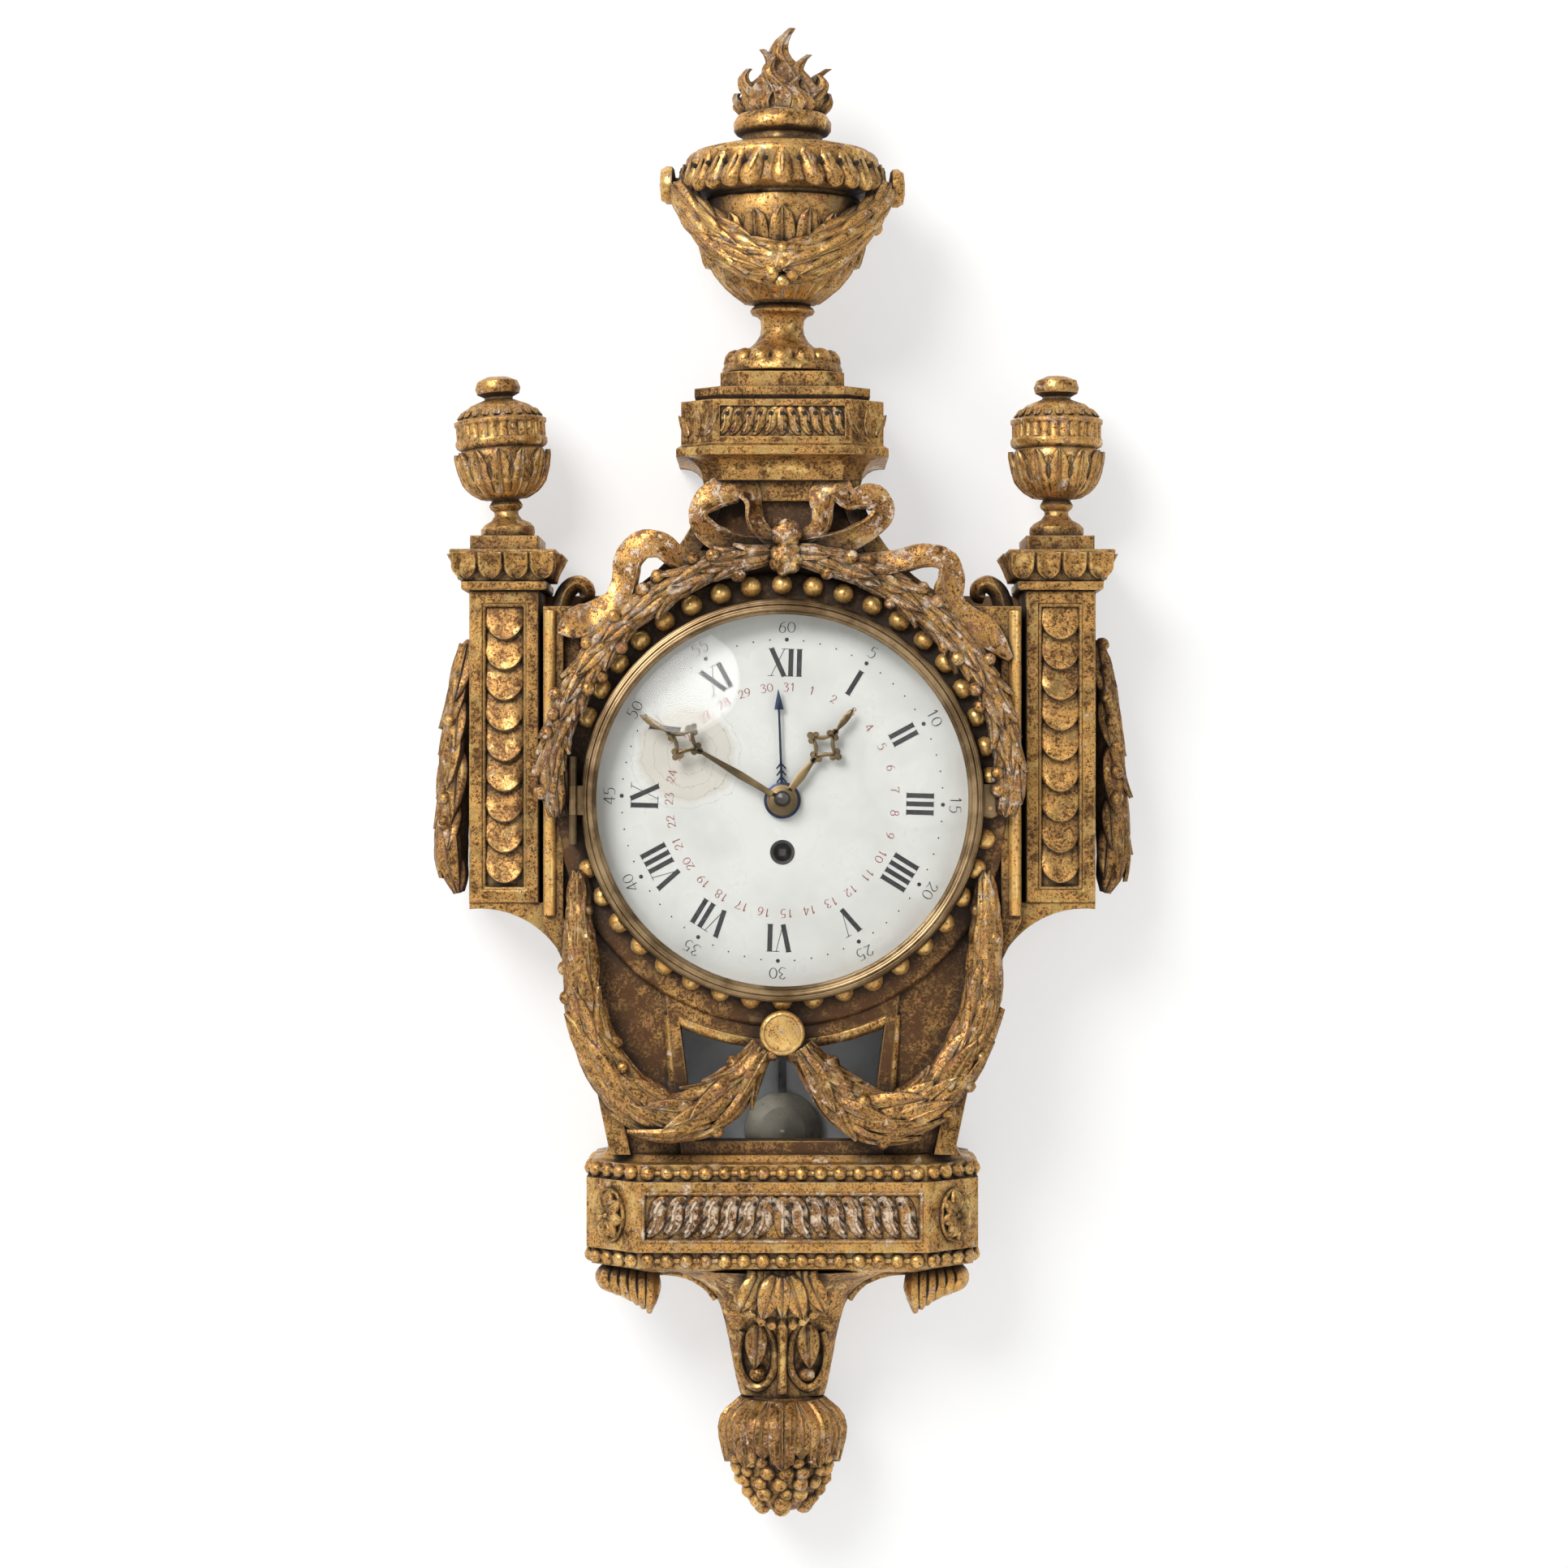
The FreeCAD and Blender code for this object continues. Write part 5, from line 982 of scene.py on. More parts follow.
def make_urn_band():
    """Hanging leaves round the rim that lean away from the middle one, with dark dots between them,
    painted as the shade in drilled holes.
    """
    rim = Carving()
    for k in range(-BAND_LEAVES, BAND_LEAVES + 1):
        line, facing = [], []
        for share in (0.0, 0.16, 0.32, 0.48, 0.62, 0.74, 0.85, 0.94, 1.0):
            a = math.radians(BAND_PITCH * k + 9.0 * share * ((k > 0) - (k < 0)))
            reach = 56.2 + 3.6 * share ** 1.6 - 3.0 * share ** 12
            line.append(URN_AXIS + outward(a, reach, BAND_TOP - BAND_HIGH * share))
            facing.append(outward(a))
        tube(rim, line, [2.6, 4.0, 5.0, 5.8, 6.4, 6.6, 6.2, 4.6, 1.6], facing, 12, 0.72)
        rib = [p + out * 4.4 for p, out in zip(line[1:6], facing[1:6])]
        tube(rim, rib, [0.8, 1.2, 1.4, 1.2, 0.5], facing[1:6], 6)
    rim.make("urn_band_leaves", GILT_WORN, uneven=0.3)
    # dark dots between the band's leaves: painted shade of drilled holes
    hole_shades = Carving()
    for k in range(-BAND_LEAVES, BAND_LEAVES):
        a = math.radians(BAND_PITCH * (k + 0.5) + (3.0 if k >= 0 else -3.0))
        pearl(hole_shades, URN_AXIS + outward(a, 61.0, 378.5), 1.6, outward(a), rings=4, sides=8)
    hole_shades.make("urn_band_hole_shades", HOLE_SHADE)


def make_urn_cover_and_knobs():
    cover = Carving()
    spin(cover, URN_COVER, URN_AXIS, sides=56)
    cover.make("urn_cover_turned", GILT, replaces=["urn_cover"], uneven=0.25)
    knobs = Carving()
    for side, z in KNOB_Z.items():
        spin(knobs, KNOB, point(0, z, URN_DEPTH), RIGHT * side, 28)
    knobs.make("urn_knobs_turned", GILT_WORN, replaces=["urn_knobs"], uneven=0.3)


# Garland of the great urn, from the knobs to a cluster of berries in the middle of the bowl
GARLAND_TOP, GARLAND_DROP = 371, 54
GARLAND_REACH = 61.0
GARLAND_ENDS = 82            # degrees round from the front
GARLAND_STEPS = 21
BERRY_Z = 317
BERRY_R = 4.4
BERRY_OUT = 54.0             # from the urn's axis to the middle berry
BERRIES = ((0, 0), (-6, 5), (6, 5), (-5.5, -6), (5.5, -6), (0, 9.5), (0, -10))


def make_urn_garland():
    whole = Carving()
    for side in BOTH_SIDES:
        line, facing, radii = [], [], []
        for k in range(GARLAND_STEPS + 1):
            share = 0.5 * k / GARLAND_STEPS
            turn = side * math.radians(GARLAND_ENDS * (1 - 2 * share))
            hang = math.sin(math.pi * share)
            z = GARLAND_TOP - GARLAND_DROP * hang ** 0.85
            line.append(URN_AXIS + outward(turn, GARLAND_REACH * (1 - 0.27 * hang), z))
            facing.append(outward(turn, z=0.15).normalized())
            radii.append(6.5 + 3.8 * hang)
        garland(whole, line, radii, random.Random(51 + side), facing, long=32.0, wide=12.5, pitch=13.0,
                spread=FOUR_LEAVES, tip=1.0, berry=0.1, core=0.78)
        for share in (0.42, 0.72):
            for skew in (-7.0, 7.0):
                tie(whole, line, radii, facing, share, skew)
        tie(whole, line, radii, facing, 0.96, 10.0 * side, 8.0)
    for x, z in BERRIES:
        depth = URN_DEPTH + BERRY_OUT - 0.02 * (x * x + z * z)
        pearl(whole, point(x, BERRY_Z + z, depth), BERRY_R)
    whole.make("urn_garland_leaves", GILT_WORN, replaces=["urn_garland"], uneven=0.3)


# Flame: licks as (foot x, foot back), (tip x, tip z), sway, radius, tip forward
FLAME_FOOT = 411.5
FLAME_COLLAR = [(23, 411.5), (23.5, 414.5), (19, 417), (8, 419)]
LICKS = [((0, 0), (6.0, 466.5), 5.0, 17.0, 2), ((-7, -6), (-12, 453), -4.0, 13.0, 5),
         ((-12, 2), (-25, 436), -3.5, 11.5, 0), ((7, -5), (16, 450), 4.0, 13.0, 4),
         ((13, 2), (28, 442), 4.0, 11.0, 1), ((0, -12), (-4, 448), 4.0, 12.0, 9),
         ((-14, -6), (-20, 441), 3.5, 10.5, 7), ((14, -7), (22, 437), -3.5, 10.5, 7),
         ((-7, -15), (-10, 436), -3.0, 10.0, 11), ((8, -15), (11, 436), 3.0, 10.0, 11),
         ((0, 12), (0, 448), 3.0, 11.0, -8), ((-12, 9), (-20, 436), -3.0, 9.5, -8),
         ((12, 9), (20, 436), 3.0, 9.5, -8), ((-18, 0), (-27, 427), 2.0, 8.0, 2),
         ((18, 0), (27, 427), -2.0, 8.0, 2)]
LICK_STEPS = 16
LICK_FLUTES = 14             # ridges and grooves by turns
LICK_TIP = 2.3


def lick(carving, start, end, sway, r):
    """One lick of flame, swung sideways as an S and fluted along its length."""
    rows = []
    for k in range(LICK_STEPS):
        t = k / (LICK_STEPS - 1)
        p = start.lerp(end, t)
        p.x += 1.5 * sway * math.sin(2 * math.pi * t) * (0.5 + 0.5 * t)
        wide = max(LICK_TIP, r * (1.0 - t) ** 0.5 * (0.75 + 0.4 * math.sin(math.pi * min(1.0, t * 1.4))))
        row = []
        for j, a in enumerate(around(LICK_FLUTES)):
            share = wide if j % 2 else wide * 0.68
            row.append(p + Vector((math.cos(a), -0.8 * math.sin(a), 0)) * share)
        rows.append(row)
    carving.rows(rows)


def make_flame():
    flame = Carving()
    for (x, back), (tip_x, tip_z), sway, r, out in LICKS:
        start = point(x, FLAME_FOOT, URN_DEPTH - back)
        lick(flame, start, point(tip_x, tip_z, URN_DEPTH + out), sway, r)
    spin(flame, FLAME_COLLAR, URN_AXIS, sides=28)
    flame.make("urn_flame_tongues", GILT_CHIPPED, replaces=["urn_flame"], uneven=0.3)


# Covered urns on the pilasters; the left one leans
SIDE_URN = [(15.5, 0.3), (16.5, 3), (16.4, 6.4), (14, 9), (9.4, 11.4), (7.3, 14.4), (7.3, 16.6),
            (9.6, 18.4), (10.2, 20.2), (9.2, 22), (8.2, 23.4), (12, 25.4), (17.4, 28.4), (21.6, 33.6),
            (24.2, 41), (25.6, 49), (25.6, 52.6), (24.4, 54.4), (27.2, 56), (28, 57.8), (28, 60),
            (27.2, 61), (27.2, 69), (28, 70), (28.1, 72), (25.6, 73), (24.6, 74.4), (22.6, 77.6),
            (18, 81.4), (11, 84), (8.6, 85), (8.6, 86.4), (12.8, 88.6), (13.8, 91.8), (12.2, 96.2),
            (6.8, 98.6), (0.8, 99.2)]
SIDE_URN_X, SIDE_URN_SEAT, SIDE_URN_DEPTH = 167.0, 159.0, 44.0
RIM_FLUTES = gadroons(26, 0.05, 21, 22)
LID_RIBS = gadroons(18, 0.07, 26, 28)
LID_LEAVES = 22


def make_side_urns():
    for node, x, lean in (("side_urn_right", SIDE_URN_X, 0.0), ("side_urn_left", -SIDE_URN_X, 4.0)):
        urn = Carving()
        tilt = Matrix.Rotation(math.radians(lean), 3, FORWARD)
        seat = point(x, SIDE_URN_SEAT, SIDE_URN_DEPTH)
        spin(urn, SIDE_URN, seat, UP, 156, lambda a, k: RIM_FLUTES(a, k) * LID_RIBS(a, k), tilt)
        for turn in range(0, 360, 30):
            wrap_leaf(urn, SIDE_URN, seat, turn, z0=24.5, z1=53.0, wide=13.5, thick=4.2, tilt=tilt,
                      steps=10, lobes=3, droop=1.4)
            wrap_leaf(urn, SIDE_URN, seat, turn + 15.0, z0=24.5, z1=49.0, wide=11.0, thick=2.0, tilt=tilt)
        for k in range(LID_LEAVES):
            wrap_leaf(urn, SIDE_URN, seat, 360.0 * k / LID_LEAVES, z0=74.0, z1=78.6, wide=5.2, thick=1.6,
                      tilt=tilt, steps=5)
        urn.make(node + "_leaves", GILT_WORN, replaces=[node], uneven=0.25)


make_urn_foot_and_bowl()
make_urn_band()
make_urn_cover_and_knobs()
make_urn_garland()
make_flame()
make_side_urns()


# Case: pilasters, capitals, beads, friezes and the base
PILASTER_IN, PILASTER_OUT = 146.0, 188.0
PILASTER_MIDDLE = (PILASTER_IN + PILASTER_OUT) / 2
PILASTER_TOP, PILASTER_FOOT = 126.0, -61.5
PILASTER_FRONT = 78.0
PILASTER_BACK = 10.0
RECESS_FLOOR = 73.0
STRIP_WIDE = 8.0             # frame round the sunk panel
FILLET_INSET = 7.2
FILLET_WIDE = 2.8
SCALE_COUNT = 9
SCALE_R = 11.2
SCALE_ENDS = 11.5            # from the pilaster's ends to the row of scales
SCALE_SECTION = ((-1, -0.2), (-1, 0.86), (-0.93, 1.0), (-0.5, 0.97), (0, 0.96), (0.5, 0.97), (0.93, 1.0),
                 (1, 0.86), (1, -0.2))


def scale(carving, x, lip, r, floor):
    """One overlapping scale: a half-round shingle, flat across and thickest along its lower lip."""
    rows = []
    for k in range(13):
        t = math.sin(math.pi / 2 * k / 12)
        z = lip + 2.0 * r * (1 - t)
        below = max(0.0, (lip + r - z) / r)
        half = r * math.sqrt(max(0.012, 1 - below * below))
        high = 1.0 + 5.0 * t ** 1.4
        rows.append([point(x + half * share, z, floor + high * lift) for share, lift in SCALE_SECTION])
    carving.rows(rows)


def frame_of_strips(carving, x0, x1, z0, z1, wide, back, front, chamfer):
    """Four mitred strips round a sunk panel."""
    section = ((0, back), (0, front - chamfer), (chamfer, front), (wide - chamfer, front),
               (wide, front - chamfer), (wide, back))
    rows = []
    corners = ((x0, z0, 1, 1), (x1, z0, -1, 1), (x1, z1, -1, -1), (x0, z1, 1, -1), (x0, z0, 1, 1))
    for x, z, right, up in corners:
        rows.append([point(x + right * inset, z + up * inset, depth) for inset, depth in section])
    carving.rows(rows, ends=False)


def make_pilasters():
    panels = Carving()
    x0, x1, z0, z1 = PILASTER_IN, PILASTER_OUT, PILASTER_FOOT, PILASTER_TOP
    box(panels, x0, x1, z0, z1, PILASTER_BACK, RECESS_FLOOR + 0.2, 0.1)
    frame_of_strips(panels, x0, x1, z0, z1, STRIP_WIDE, RECESS_FLOOR, PILASTER_FRONT, 0.8)
    inset = FILLET_INSET
    frame_of_strips(panels, x0 + inset, x1 - inset, z0 + inset, z1 - inset, FILLET_WIDE, RECESS_FLOOR,
                    PILASTER_FRONT - 1.2, 1.0)
    panels.mirror()
    panels.make("pilaster_frames", GILT, replaces=["pilasters"], uneven=0.3)
    scales = Carving()
    pitch = (z1 - z0 - 2 * SCALE_ENDS) / SCALE_COUNT
    for k in range(SCALE_COUNT):
        scale(scales, PILASTER_MIDDLE, z0 + SCALE_ENDS + k * pitch + 0.5, SCALE_R, RECESS_FLOOR)
    scales.mirror()
    scales.make("pilaster_scales", GILT_PLAIN, uneven=0.3)


# Capitals: steps of the moulding are (height, distance out from the pilaster)
CAPITAL_STEPS = [(126.0, 3.5), (127.0, 4.4), (131.0, 4.4), (132.0, 2.8), (134.0, 2.8), (138.0, 3.6),
                 (143.0, 6.6), (146.5, 9.6), (147.5, 10.8), (149.2, 11.0), (150.0, 10.4)]
BLOCK_FOOT, BLOCK_TOP = 150.0, 159.0
LOBE_Z = 140.5
LOBE_OUT = 4.0               # from the pilaster's face to a lobe's middle
LOBE_R = 7.7
LOBE_HIGH = 7.5
LOBE_FLARE = 6.5
LOBE_SECTION = ((-1, -4), (-1, 2.0), (-0.86, 3.4), (-0.66, 3.0), (-0.4, 1.2), (0, 0.5), (0.4, 1.2),
                (0.66, 3.0), (0.86, 3.4), (1, 2.0), (1, -4))


def lobe(carving, centre, out, across):
    """A cupped lobe with a raised rim: round below, straight above, leaning out towards its top."""
    tall = LOBE_HIGH + LOBE_R
    rows = []
    for k in range(12):
        z = LOBE_HIGH - tall * math.sin(math.pi / 2 * k / 11)
        half = LOBE_R * math.sqrt(max(0.015, 1 - min(0.0, z / LOBE_R) ** 2))
        base = centre + UP * z + out * (LOBE_FLARE * max(0.0, (z + LOBE_R) / tall) ** 1.4)
        rows.append([base + across * (half * share) + out * lift for share, lift in LOBE_SECTION])
    carving.rows(rows)


def make_capitals():
    """Plain neck, then an abacus hung with big cupped lobes, and the block that carries the urn."""
    capitals = Carving()
    rows = []
    for z, out in CAPITAL_STEPS:
        left, right, front = PILASTER_IN - out, PILASTER_OUT + out, PILASTER_FRONT + out
        rows.append([point(left, z, PILASTER_BACK), point(left, z, front), point(right, z, front),
                     point(right, z, PILASTER_BACK)])
    for pair in zip(rows, rows[1:]):
        capitals.rows(pair)
    for shift in (-23.4, -7.8, 7.8, 23.4):
        lobe(capitals, point(PILASTER_MIDDLE + shift, LOBE_Z, PILASTER_FRONT + LOBE_OUT), FORWARD, RIGHT)
    for side, x in ((-1, PILASTER_IN - LOBE_OUT), (1, PILASTER_OUT + LOBE_OUT)):
        for depth in (20.0, 36.0, 52.0, 68.0):
            lobe(capitals, point(x, LOBE_Z, depth), RIGHT * side, FORWARD)
    box(capitals, PILASTER_IN + 0.5, PILASTER_OUT - 0.5, BLOCK_FOOT, BLOCK_TOP, PILASTER_BACK,
        PILASTER_FRONT - 0.5, 0.8)
    capitals.mirror()
    capitals.make("capital_lobes", GILT, replaces=["capitals"], uneven=0.3)


# Beads
SURROUND_RING = [(120.0, 80), (120.0, 86.6), (121.5, 87), (133, 87), (135.2, 85.6), (136, 83.4),
                 (136, 80)]
BEAD_RING_R, BEAD_RING_Z, BEAD_RING_DEPTH = 124.2, 4.5, 89.4
BEAD_ARC = 163               # degrees to each end of the arc, from three o'clock
BEZEL_CLEAR = 120.2          # the beads are cut back to this radius for the bezel
PLINTH_BEAD_ROWS = (-222.0, -274.0)
PLINTH_PLAN = [(115.0, 2.0), (115.0, 67.8), (85.8, 97.0), (-85.8, 97.0), (-115.0, 67.8), (-115.0, 2.0)]


def bead_row(carving, points, pitch, r, out, spindle=0.0):
    """Beads that stand out along a path, joined by thin spindles where a radius is given for them."""
    far = distances(points)
    count = max(1, round(far[-1] / pitch))
    last = None
    for k in range(count):
        i, t = span_at(far, far[-1] * (k + 0.5) / count)
        p = points[i].lerp(points[i + 1], t)
        pearl(carving, p, r * (0.94 + 0.1 * noise.noise(p * 0.21)), out, rings=6, sides=12)
        if last and spindle:
            tube(carving, [last, p], [spindle, spindle], out, 8)
        last = p


def make_surround():
    """Turned ring round the bezel with its beads; the hinge keeps a gap at the left."""
    ring = Carving()
    spin(ring, SURROUND_RING, point(0, 0, 0), FORWARD, 144, ring=True)
    # the ring takes the shaded gilding, as painted shade behind the bezel
    ring.make("surround_ring", GILT_SHADED, replaces=["dial_surround"], uneven=0.2)
    beads = Carving()
    arc = []
    for k in range(140):
        a = math.radians(2 * BEAD_ARC * k / 139 - BEAD_ARC)
        x, z = BEAD_RING_R * math.cos(a), BEAD_RING_Z + BEAD_RING_R * math.sin(a)
        arc.append(point(x, z, BEAD_RING_DEPTH))
    bead_row(beads, arc, pitch=18.6, r=6.6, out=FORWARD)
    for p in beads.points:
        clear = max(1.0, BEZEL_CLEAR / math.hypot(p.x, p.z))
        p.x *= clear
        p.z *= clear
    beads.make("surround_beads", GILT_LIT, uneven=0.3)


def make_plinth_beads():
    beads = Carving()
    for z in PLINTH_BEAD_ROWS:
        plan = [point(x, z, depth) for x, depth in PLINTH_PLAN]
        for a, b in zip(plan, plan[1:]):
            out = Vector((a.y - b.y, b.x - a.x, 0)).normalized()
            bead_row(beads, [a, b], pitch=11.6, r=4.8, out=out, spindle=1.7)
    beads.make("plinth_beads_turned", GILT_WORN, replaces=["plinth_beads"], uneven=0.25)


# Friezes; the plan of a canted block is (half width, half width of its front, depth of its front)
PEDESTAL = (60.5, 41.0, 106.0)
BASE = (118.0, 87.0, 100.0)
LEAF_SWELL = (0.30, 0.44, 0.50, 0.52, 0.52, 0.50, 0.44, 0.34, 0.16)
ROSETTE_Z = -248.0
ROSETTE_RINGS = ((14.6, -0.4), (14.8, 1.4), (14.0, 2.6), (11.5, 2.0), (4.0, 2.4))
ROSETTE_WIDE, ROSETTE_HIGH = 0.86, 1.12
PETALS = 8


def slant_leaves(carving, half, z0, z1, depth, count, thick, lean):
    """A frieze of fat curled leaves that lean away from an upright one in the middle."""
    wide = 2 * half / (2 * count + 1)
    for k in range(-count, count + 1):
        side = (k > 0) - (k < 0)
        path = []
        for share in (0.0, 0.3, 0.65, 1.0):
            sway = side * lean * (share - 0.5 + 0.16 * math.sin(2 * math.pi * share))
            path.append(point(wide * k + sway, z1 - (z1 - z0) * share, depth))
        line = curve(path, len(LEAF_SWELL))
        tube(carving, line, [wide * share for share in LEAF_SWELL], FORWARD, 10, thick / wide * 1.9)
        rib = [p + FORWARD * thick * 0.8 + RIGHT * (side * wide * 0.1) for p in line[1:-1]]
        tube(carving, rib, [wide * 0.13] * len(rib), FORWARD, 6)
        away = RIGHT * (side or 1)
        for p in line[2:7:2]:
            root = p + away * (wide * 0.2)
            leaf(carving, root, away * 0.7 - UP, FORWARD, wide * 0.5, wide * 0.34, thick * 1.4, steps=5)


def drillings(name, half, count, z, depth, r):
    """A row of dark dots between the leaves of a frieze, painted as the shade in drilled holes."""
    hole_shades = Carving()
    for k in range(count):
        x = half * ((2 * k + 1) / count - 1)
        pearl(hole_shades, point(x, z, depth), r, rings=4, sides=8, squash=0.5)
    hole_shades.make(name, HOLE_SHADE)


def on_cant(plan, side, along, z):
    """A point on a canted corner of a plan, along from its middle towards the front."""
    half, face, front = plan
    step = along * math.sqrt(0.5)
    return point(side * ((half + face) / 2 - step), z, front - (half - face) / 2 + step)


def make_pedestal_frieze():
    leaves = Carving()
    slant_leaves(leaves, half=37.0, z0=216.5, z1=233.5, depth=104.0, count=5, thick=2.2, lean=7.0)
    for side in BOTH_SIDES:
        out = Vector((side, -1, 0)).normalized()
        across = Vector((-side, -1, 0)).normalized()
        for shift in (-7.0, 0.0, 7.0):
            root = on_cant(PEDESTAL, side, shift, 217.0) - out * 0.6
            along = UP + across * (0.1 * shift)
            leaf(leaves, root, along, out, long=16.0, wide=6.5, thick=2.2, steps=7)
    leaves.make("pedestal_frieze_leaves", GILT_WORN, uneven=0.3)
    drillings("pedestal_frieze_hole_shades", half=36.0, count=11, z=229.5, depth=106.3, r=1.5)


def make_base_frieze():
    leaves = Carving()
    slant_leaves(leaves, half=80.0, z0=-260.5, z1=-235.5, depth=97.8, count=7, thick=3.0, lean=11.0)
    leaves.make("base_frieze_leaves", GILT_FLAKED, uneven=0.35)
    fillets = Carving()
    frame_of_strips(fillets, x0=-84.0, x1=84.0, z0=-263.5, z1=-232.5, wide=2.6, back=98.0, front=101.0,
                    chamfer=0.9)
    fillets.make("base_frieze_fillet", GILT_CHIPPED, uneven=0.2)
    drillings("base_frieze_hole_shades", half=75.0, count=14, z=-240.0, depth=101.0, r=1.2)


def make_rosettes():
    """Oval flowers on the canted corners of the base."""
    flowers = Carving()
    high = UP * ROSETTE_HIGH
    for side in BOTH_SIDES:
        out = Vector((side, -1, 0)).normalized()
        wide = Vector((side, 1, 0)).normalized() * ROSETTE_WIDE
        centre = on_cant(BASE, side, 0.0, ROSETTE_Z)
        rows = []
        for r, lift in ROSETTE_RINGS:
            middle = centre + out * lift
            rows.append([middle + (wide * math.cos(a) + high * math.sin(a)) * r for a in around(40)])
        flowers.rows(rows)
        for k in range(PETALS):
            a = 2 * math.pi * (k + 0.25) / PETALS
            away = wide * math.cos(a) + high * math.sin(a)
            root = centre + out * 1.8 + away * 2.0
            long = 12.4 * away.length
            leaf(flowers, root, away, out, long, wide=10.6, thick=3.6, lift=2.4, steps=7)
        pearl(flowers, centre + out * 3.6, 2.4, out)
    flowers.make("rosette_petals", GILT, replaces=["corner_rosettes"], uneven=0.3)


# Pendulum window and the rails beside the dial
WINDOW_ARC = 145.0
WINDOW_ARC_HALF = 27.5       # degrees
WINDOW_HALF, WINDOW_FOOT = 62.5, -204.0
WINDOW_STRIP = 4.4
STRIP_DEPTH = 80.5
BUTTON_Z = -138.5
BUTTON = [(9.0, 80), (9.0, 94), (12.6, 96), (13.4, 98), (13.4, 100.4), (12.4, 101.8), (11.2, 102.2),
          (10.6, 101.2), (9.8, 101.4), (1.0, 101.8)]
RAIL_FOOT = -69.0
# Rails are (x, depth, radius, sides, heights)
RAILS = ((139.0, 86.0, 3.6, 14, (RAIL_FOOT, -20.0, 40.0, 113.5)),
         (133.2, 83.6, 1.6, 10, (RAIL_FOOT, 20.0, 112.0)))


def make_window_lining():
    """Grey boards seen through the pendulum window, its frame, and the button over it."""
    lining = Carving()
    box(lining, x0=-72.0, x1=72.0, z0=-211.5, z1=-116.0, back=10.05, front=10.5, chamfer=0.1)
    lining.make("window_lining", LINING)
    strips = Carving()
    arc = []
    for k in range(15):
        a = math.radians(2 * WINDOW_ARC_HALF * k / 14 - 90 - WINDOW_ARC_HALF)
        arc.append(point(WINDOW_ARC * math.cos(a), WINDOW_ARC * math.sin(a), STRIP_DEPTH))
    left, right = (point(side * WINDOW_HALF, WINDOW_FOOT, STRIP_DEPTH) for side in BOTH_SIDES)
    for line in (arc, [arc[0], left], [arc[-1], right]):
        tube(strips, line, [WINDOW_STRIP] * len(line), FORWARD, 10, 0.8)
    strips.make("window_frame_strips", GILT_WORN, uneven=0.3)
    button = Carving()
    spin(button, BUTTON, point(0, BUTTON_Z, 0), FORWARD, 40)
    button.make("festoon_button_turned", GILT_LIT, replaces=["festoon_button"], uneven=0.2)


def make_side_rails():
    """Half-round gilt rails that stand beside the pilasters on the edges of the case."""
    rails = Carving()
    for side in BOTH_SIDES:
        for x, depth, r, sides, heights in RAILS:
            tube(rails, [point(side * x, z, depth) for z in heights], [r] * len(heights), sides=sides)
    rails.make("side_rails", GILT_LIT, uneven=0.2)


make_pilasters()
make_capitals()
make_surround()
make_pedestal_frieze()
make_base_frieze()
make_plinth_beads()
make_rosettes()
make_window_lining()
make_side_rails()


# Ribbon bow with its knot, tails and the small scrolls on the shoulders
RIBBON_THICK = 2.4
RIBBON_DISH = 1.1
RIBBON_WIDTH = 1.15          # scales the widths of all the stations below
LEFT_LOOP = [(-3, 151, 92, 8, 1.5), (-15, 151, 95, 11, 2.2), (-29, 152, 97, 13, 2.0),
             (-43, 158, 98, 14, 1.0), (-50, 168, 95, 15, 0.5), (-45, 179, 92, 17, 1.1),
             (-33, 186, 91, 18, 1.6), (-22, 186, 91, 17, 0.9), (-17, 177, 93, 14, 0.4),
             (-16, 167, 95, 11, 0.8), (-10, 158, 95, 10, 1.4), (-3, 152, 94, 8, 1.5)]
RIGHT_LOOP = [(3, 151, 92, 8, 1.5), (13, 156, 94, 10, 1.2), (22, 163, 94, 12, 0.8),
              (24, 173, 92, 15, 0.6), (24, 183, 90, 17, 1.2), (33, 187, 91, 16, 1.4),
              (39, 179, 94, 12, 0.8), (44, 180, 94, 13, 1.0), (54, 181, 92, 16, 1.4),
              (60, 172, 94, 16, 0.8), (54, 163, 97, 13, 0.9), (40, 155, 98, 13, 1.8),
              (24, 151, 96, 12, 2.2), (4, 150, 94, 9, 1.5)]
LEFT_TAIL = [(-4, 147, 90, 9, 2.0), (-26, 144, 91, 12, 2.0), (-48, 142, 93, 14, 1.6),
             (-62, 145, 97, 15, 1.0), (-72, 152, 99, 17, 0.8), (-84, 152, 98, 18, 1.1),
             (-92, 143, 96, 18, 1.0), (-94, 130, 96, 17, 0.9), (-99, 118, 97, 17, 1.2),
             (-110, 111, 96, 17, 2.2), (-121, 106, 95, 17, 3.0), (-128, 103, 94, 13, 3.5),
             (-134, 100, 93, 2, 3.5)]
RIGHT_TAIL = [(4, 147, 90, 9, 2.0), (26, 143, 91, 12, 2.0), (50, 141, 94, 13, 1.8),
              (68, 142, 98, 14, 1.6), (84, 146, 99, 14, 1.2), (98, 143, 98, 15, 0.7),
              (101, 132, 97, 17, 0.9), (99, 119, 97, 18, 1.3), (108, 108, 96, 18, 1.8),
              (122, 99, 94, 18, 1.8), (136, 84, 92, 4, 1.6)]
KNOTS = ((3.0, 158.0, 9.0, 101.0), (2.0, 143.5, 10.0, 102.5))          # (x, z, radius, depth)
KNOT_LOBES = 7
RIBBON_BEADS = ((-20.5, 143.5), (22.5, 140.0))
SCROLL = [(134, 102), (134, 114), (131, 125), (125, 130.5), (119, 128.5), (118, 123.5), (122, 122)]
SCROLL_RADII = [7.0, 6.4, 5.8, 5.4, 5.0, 4.4, 3.6]
SCROLL_DEPTH = 60.0
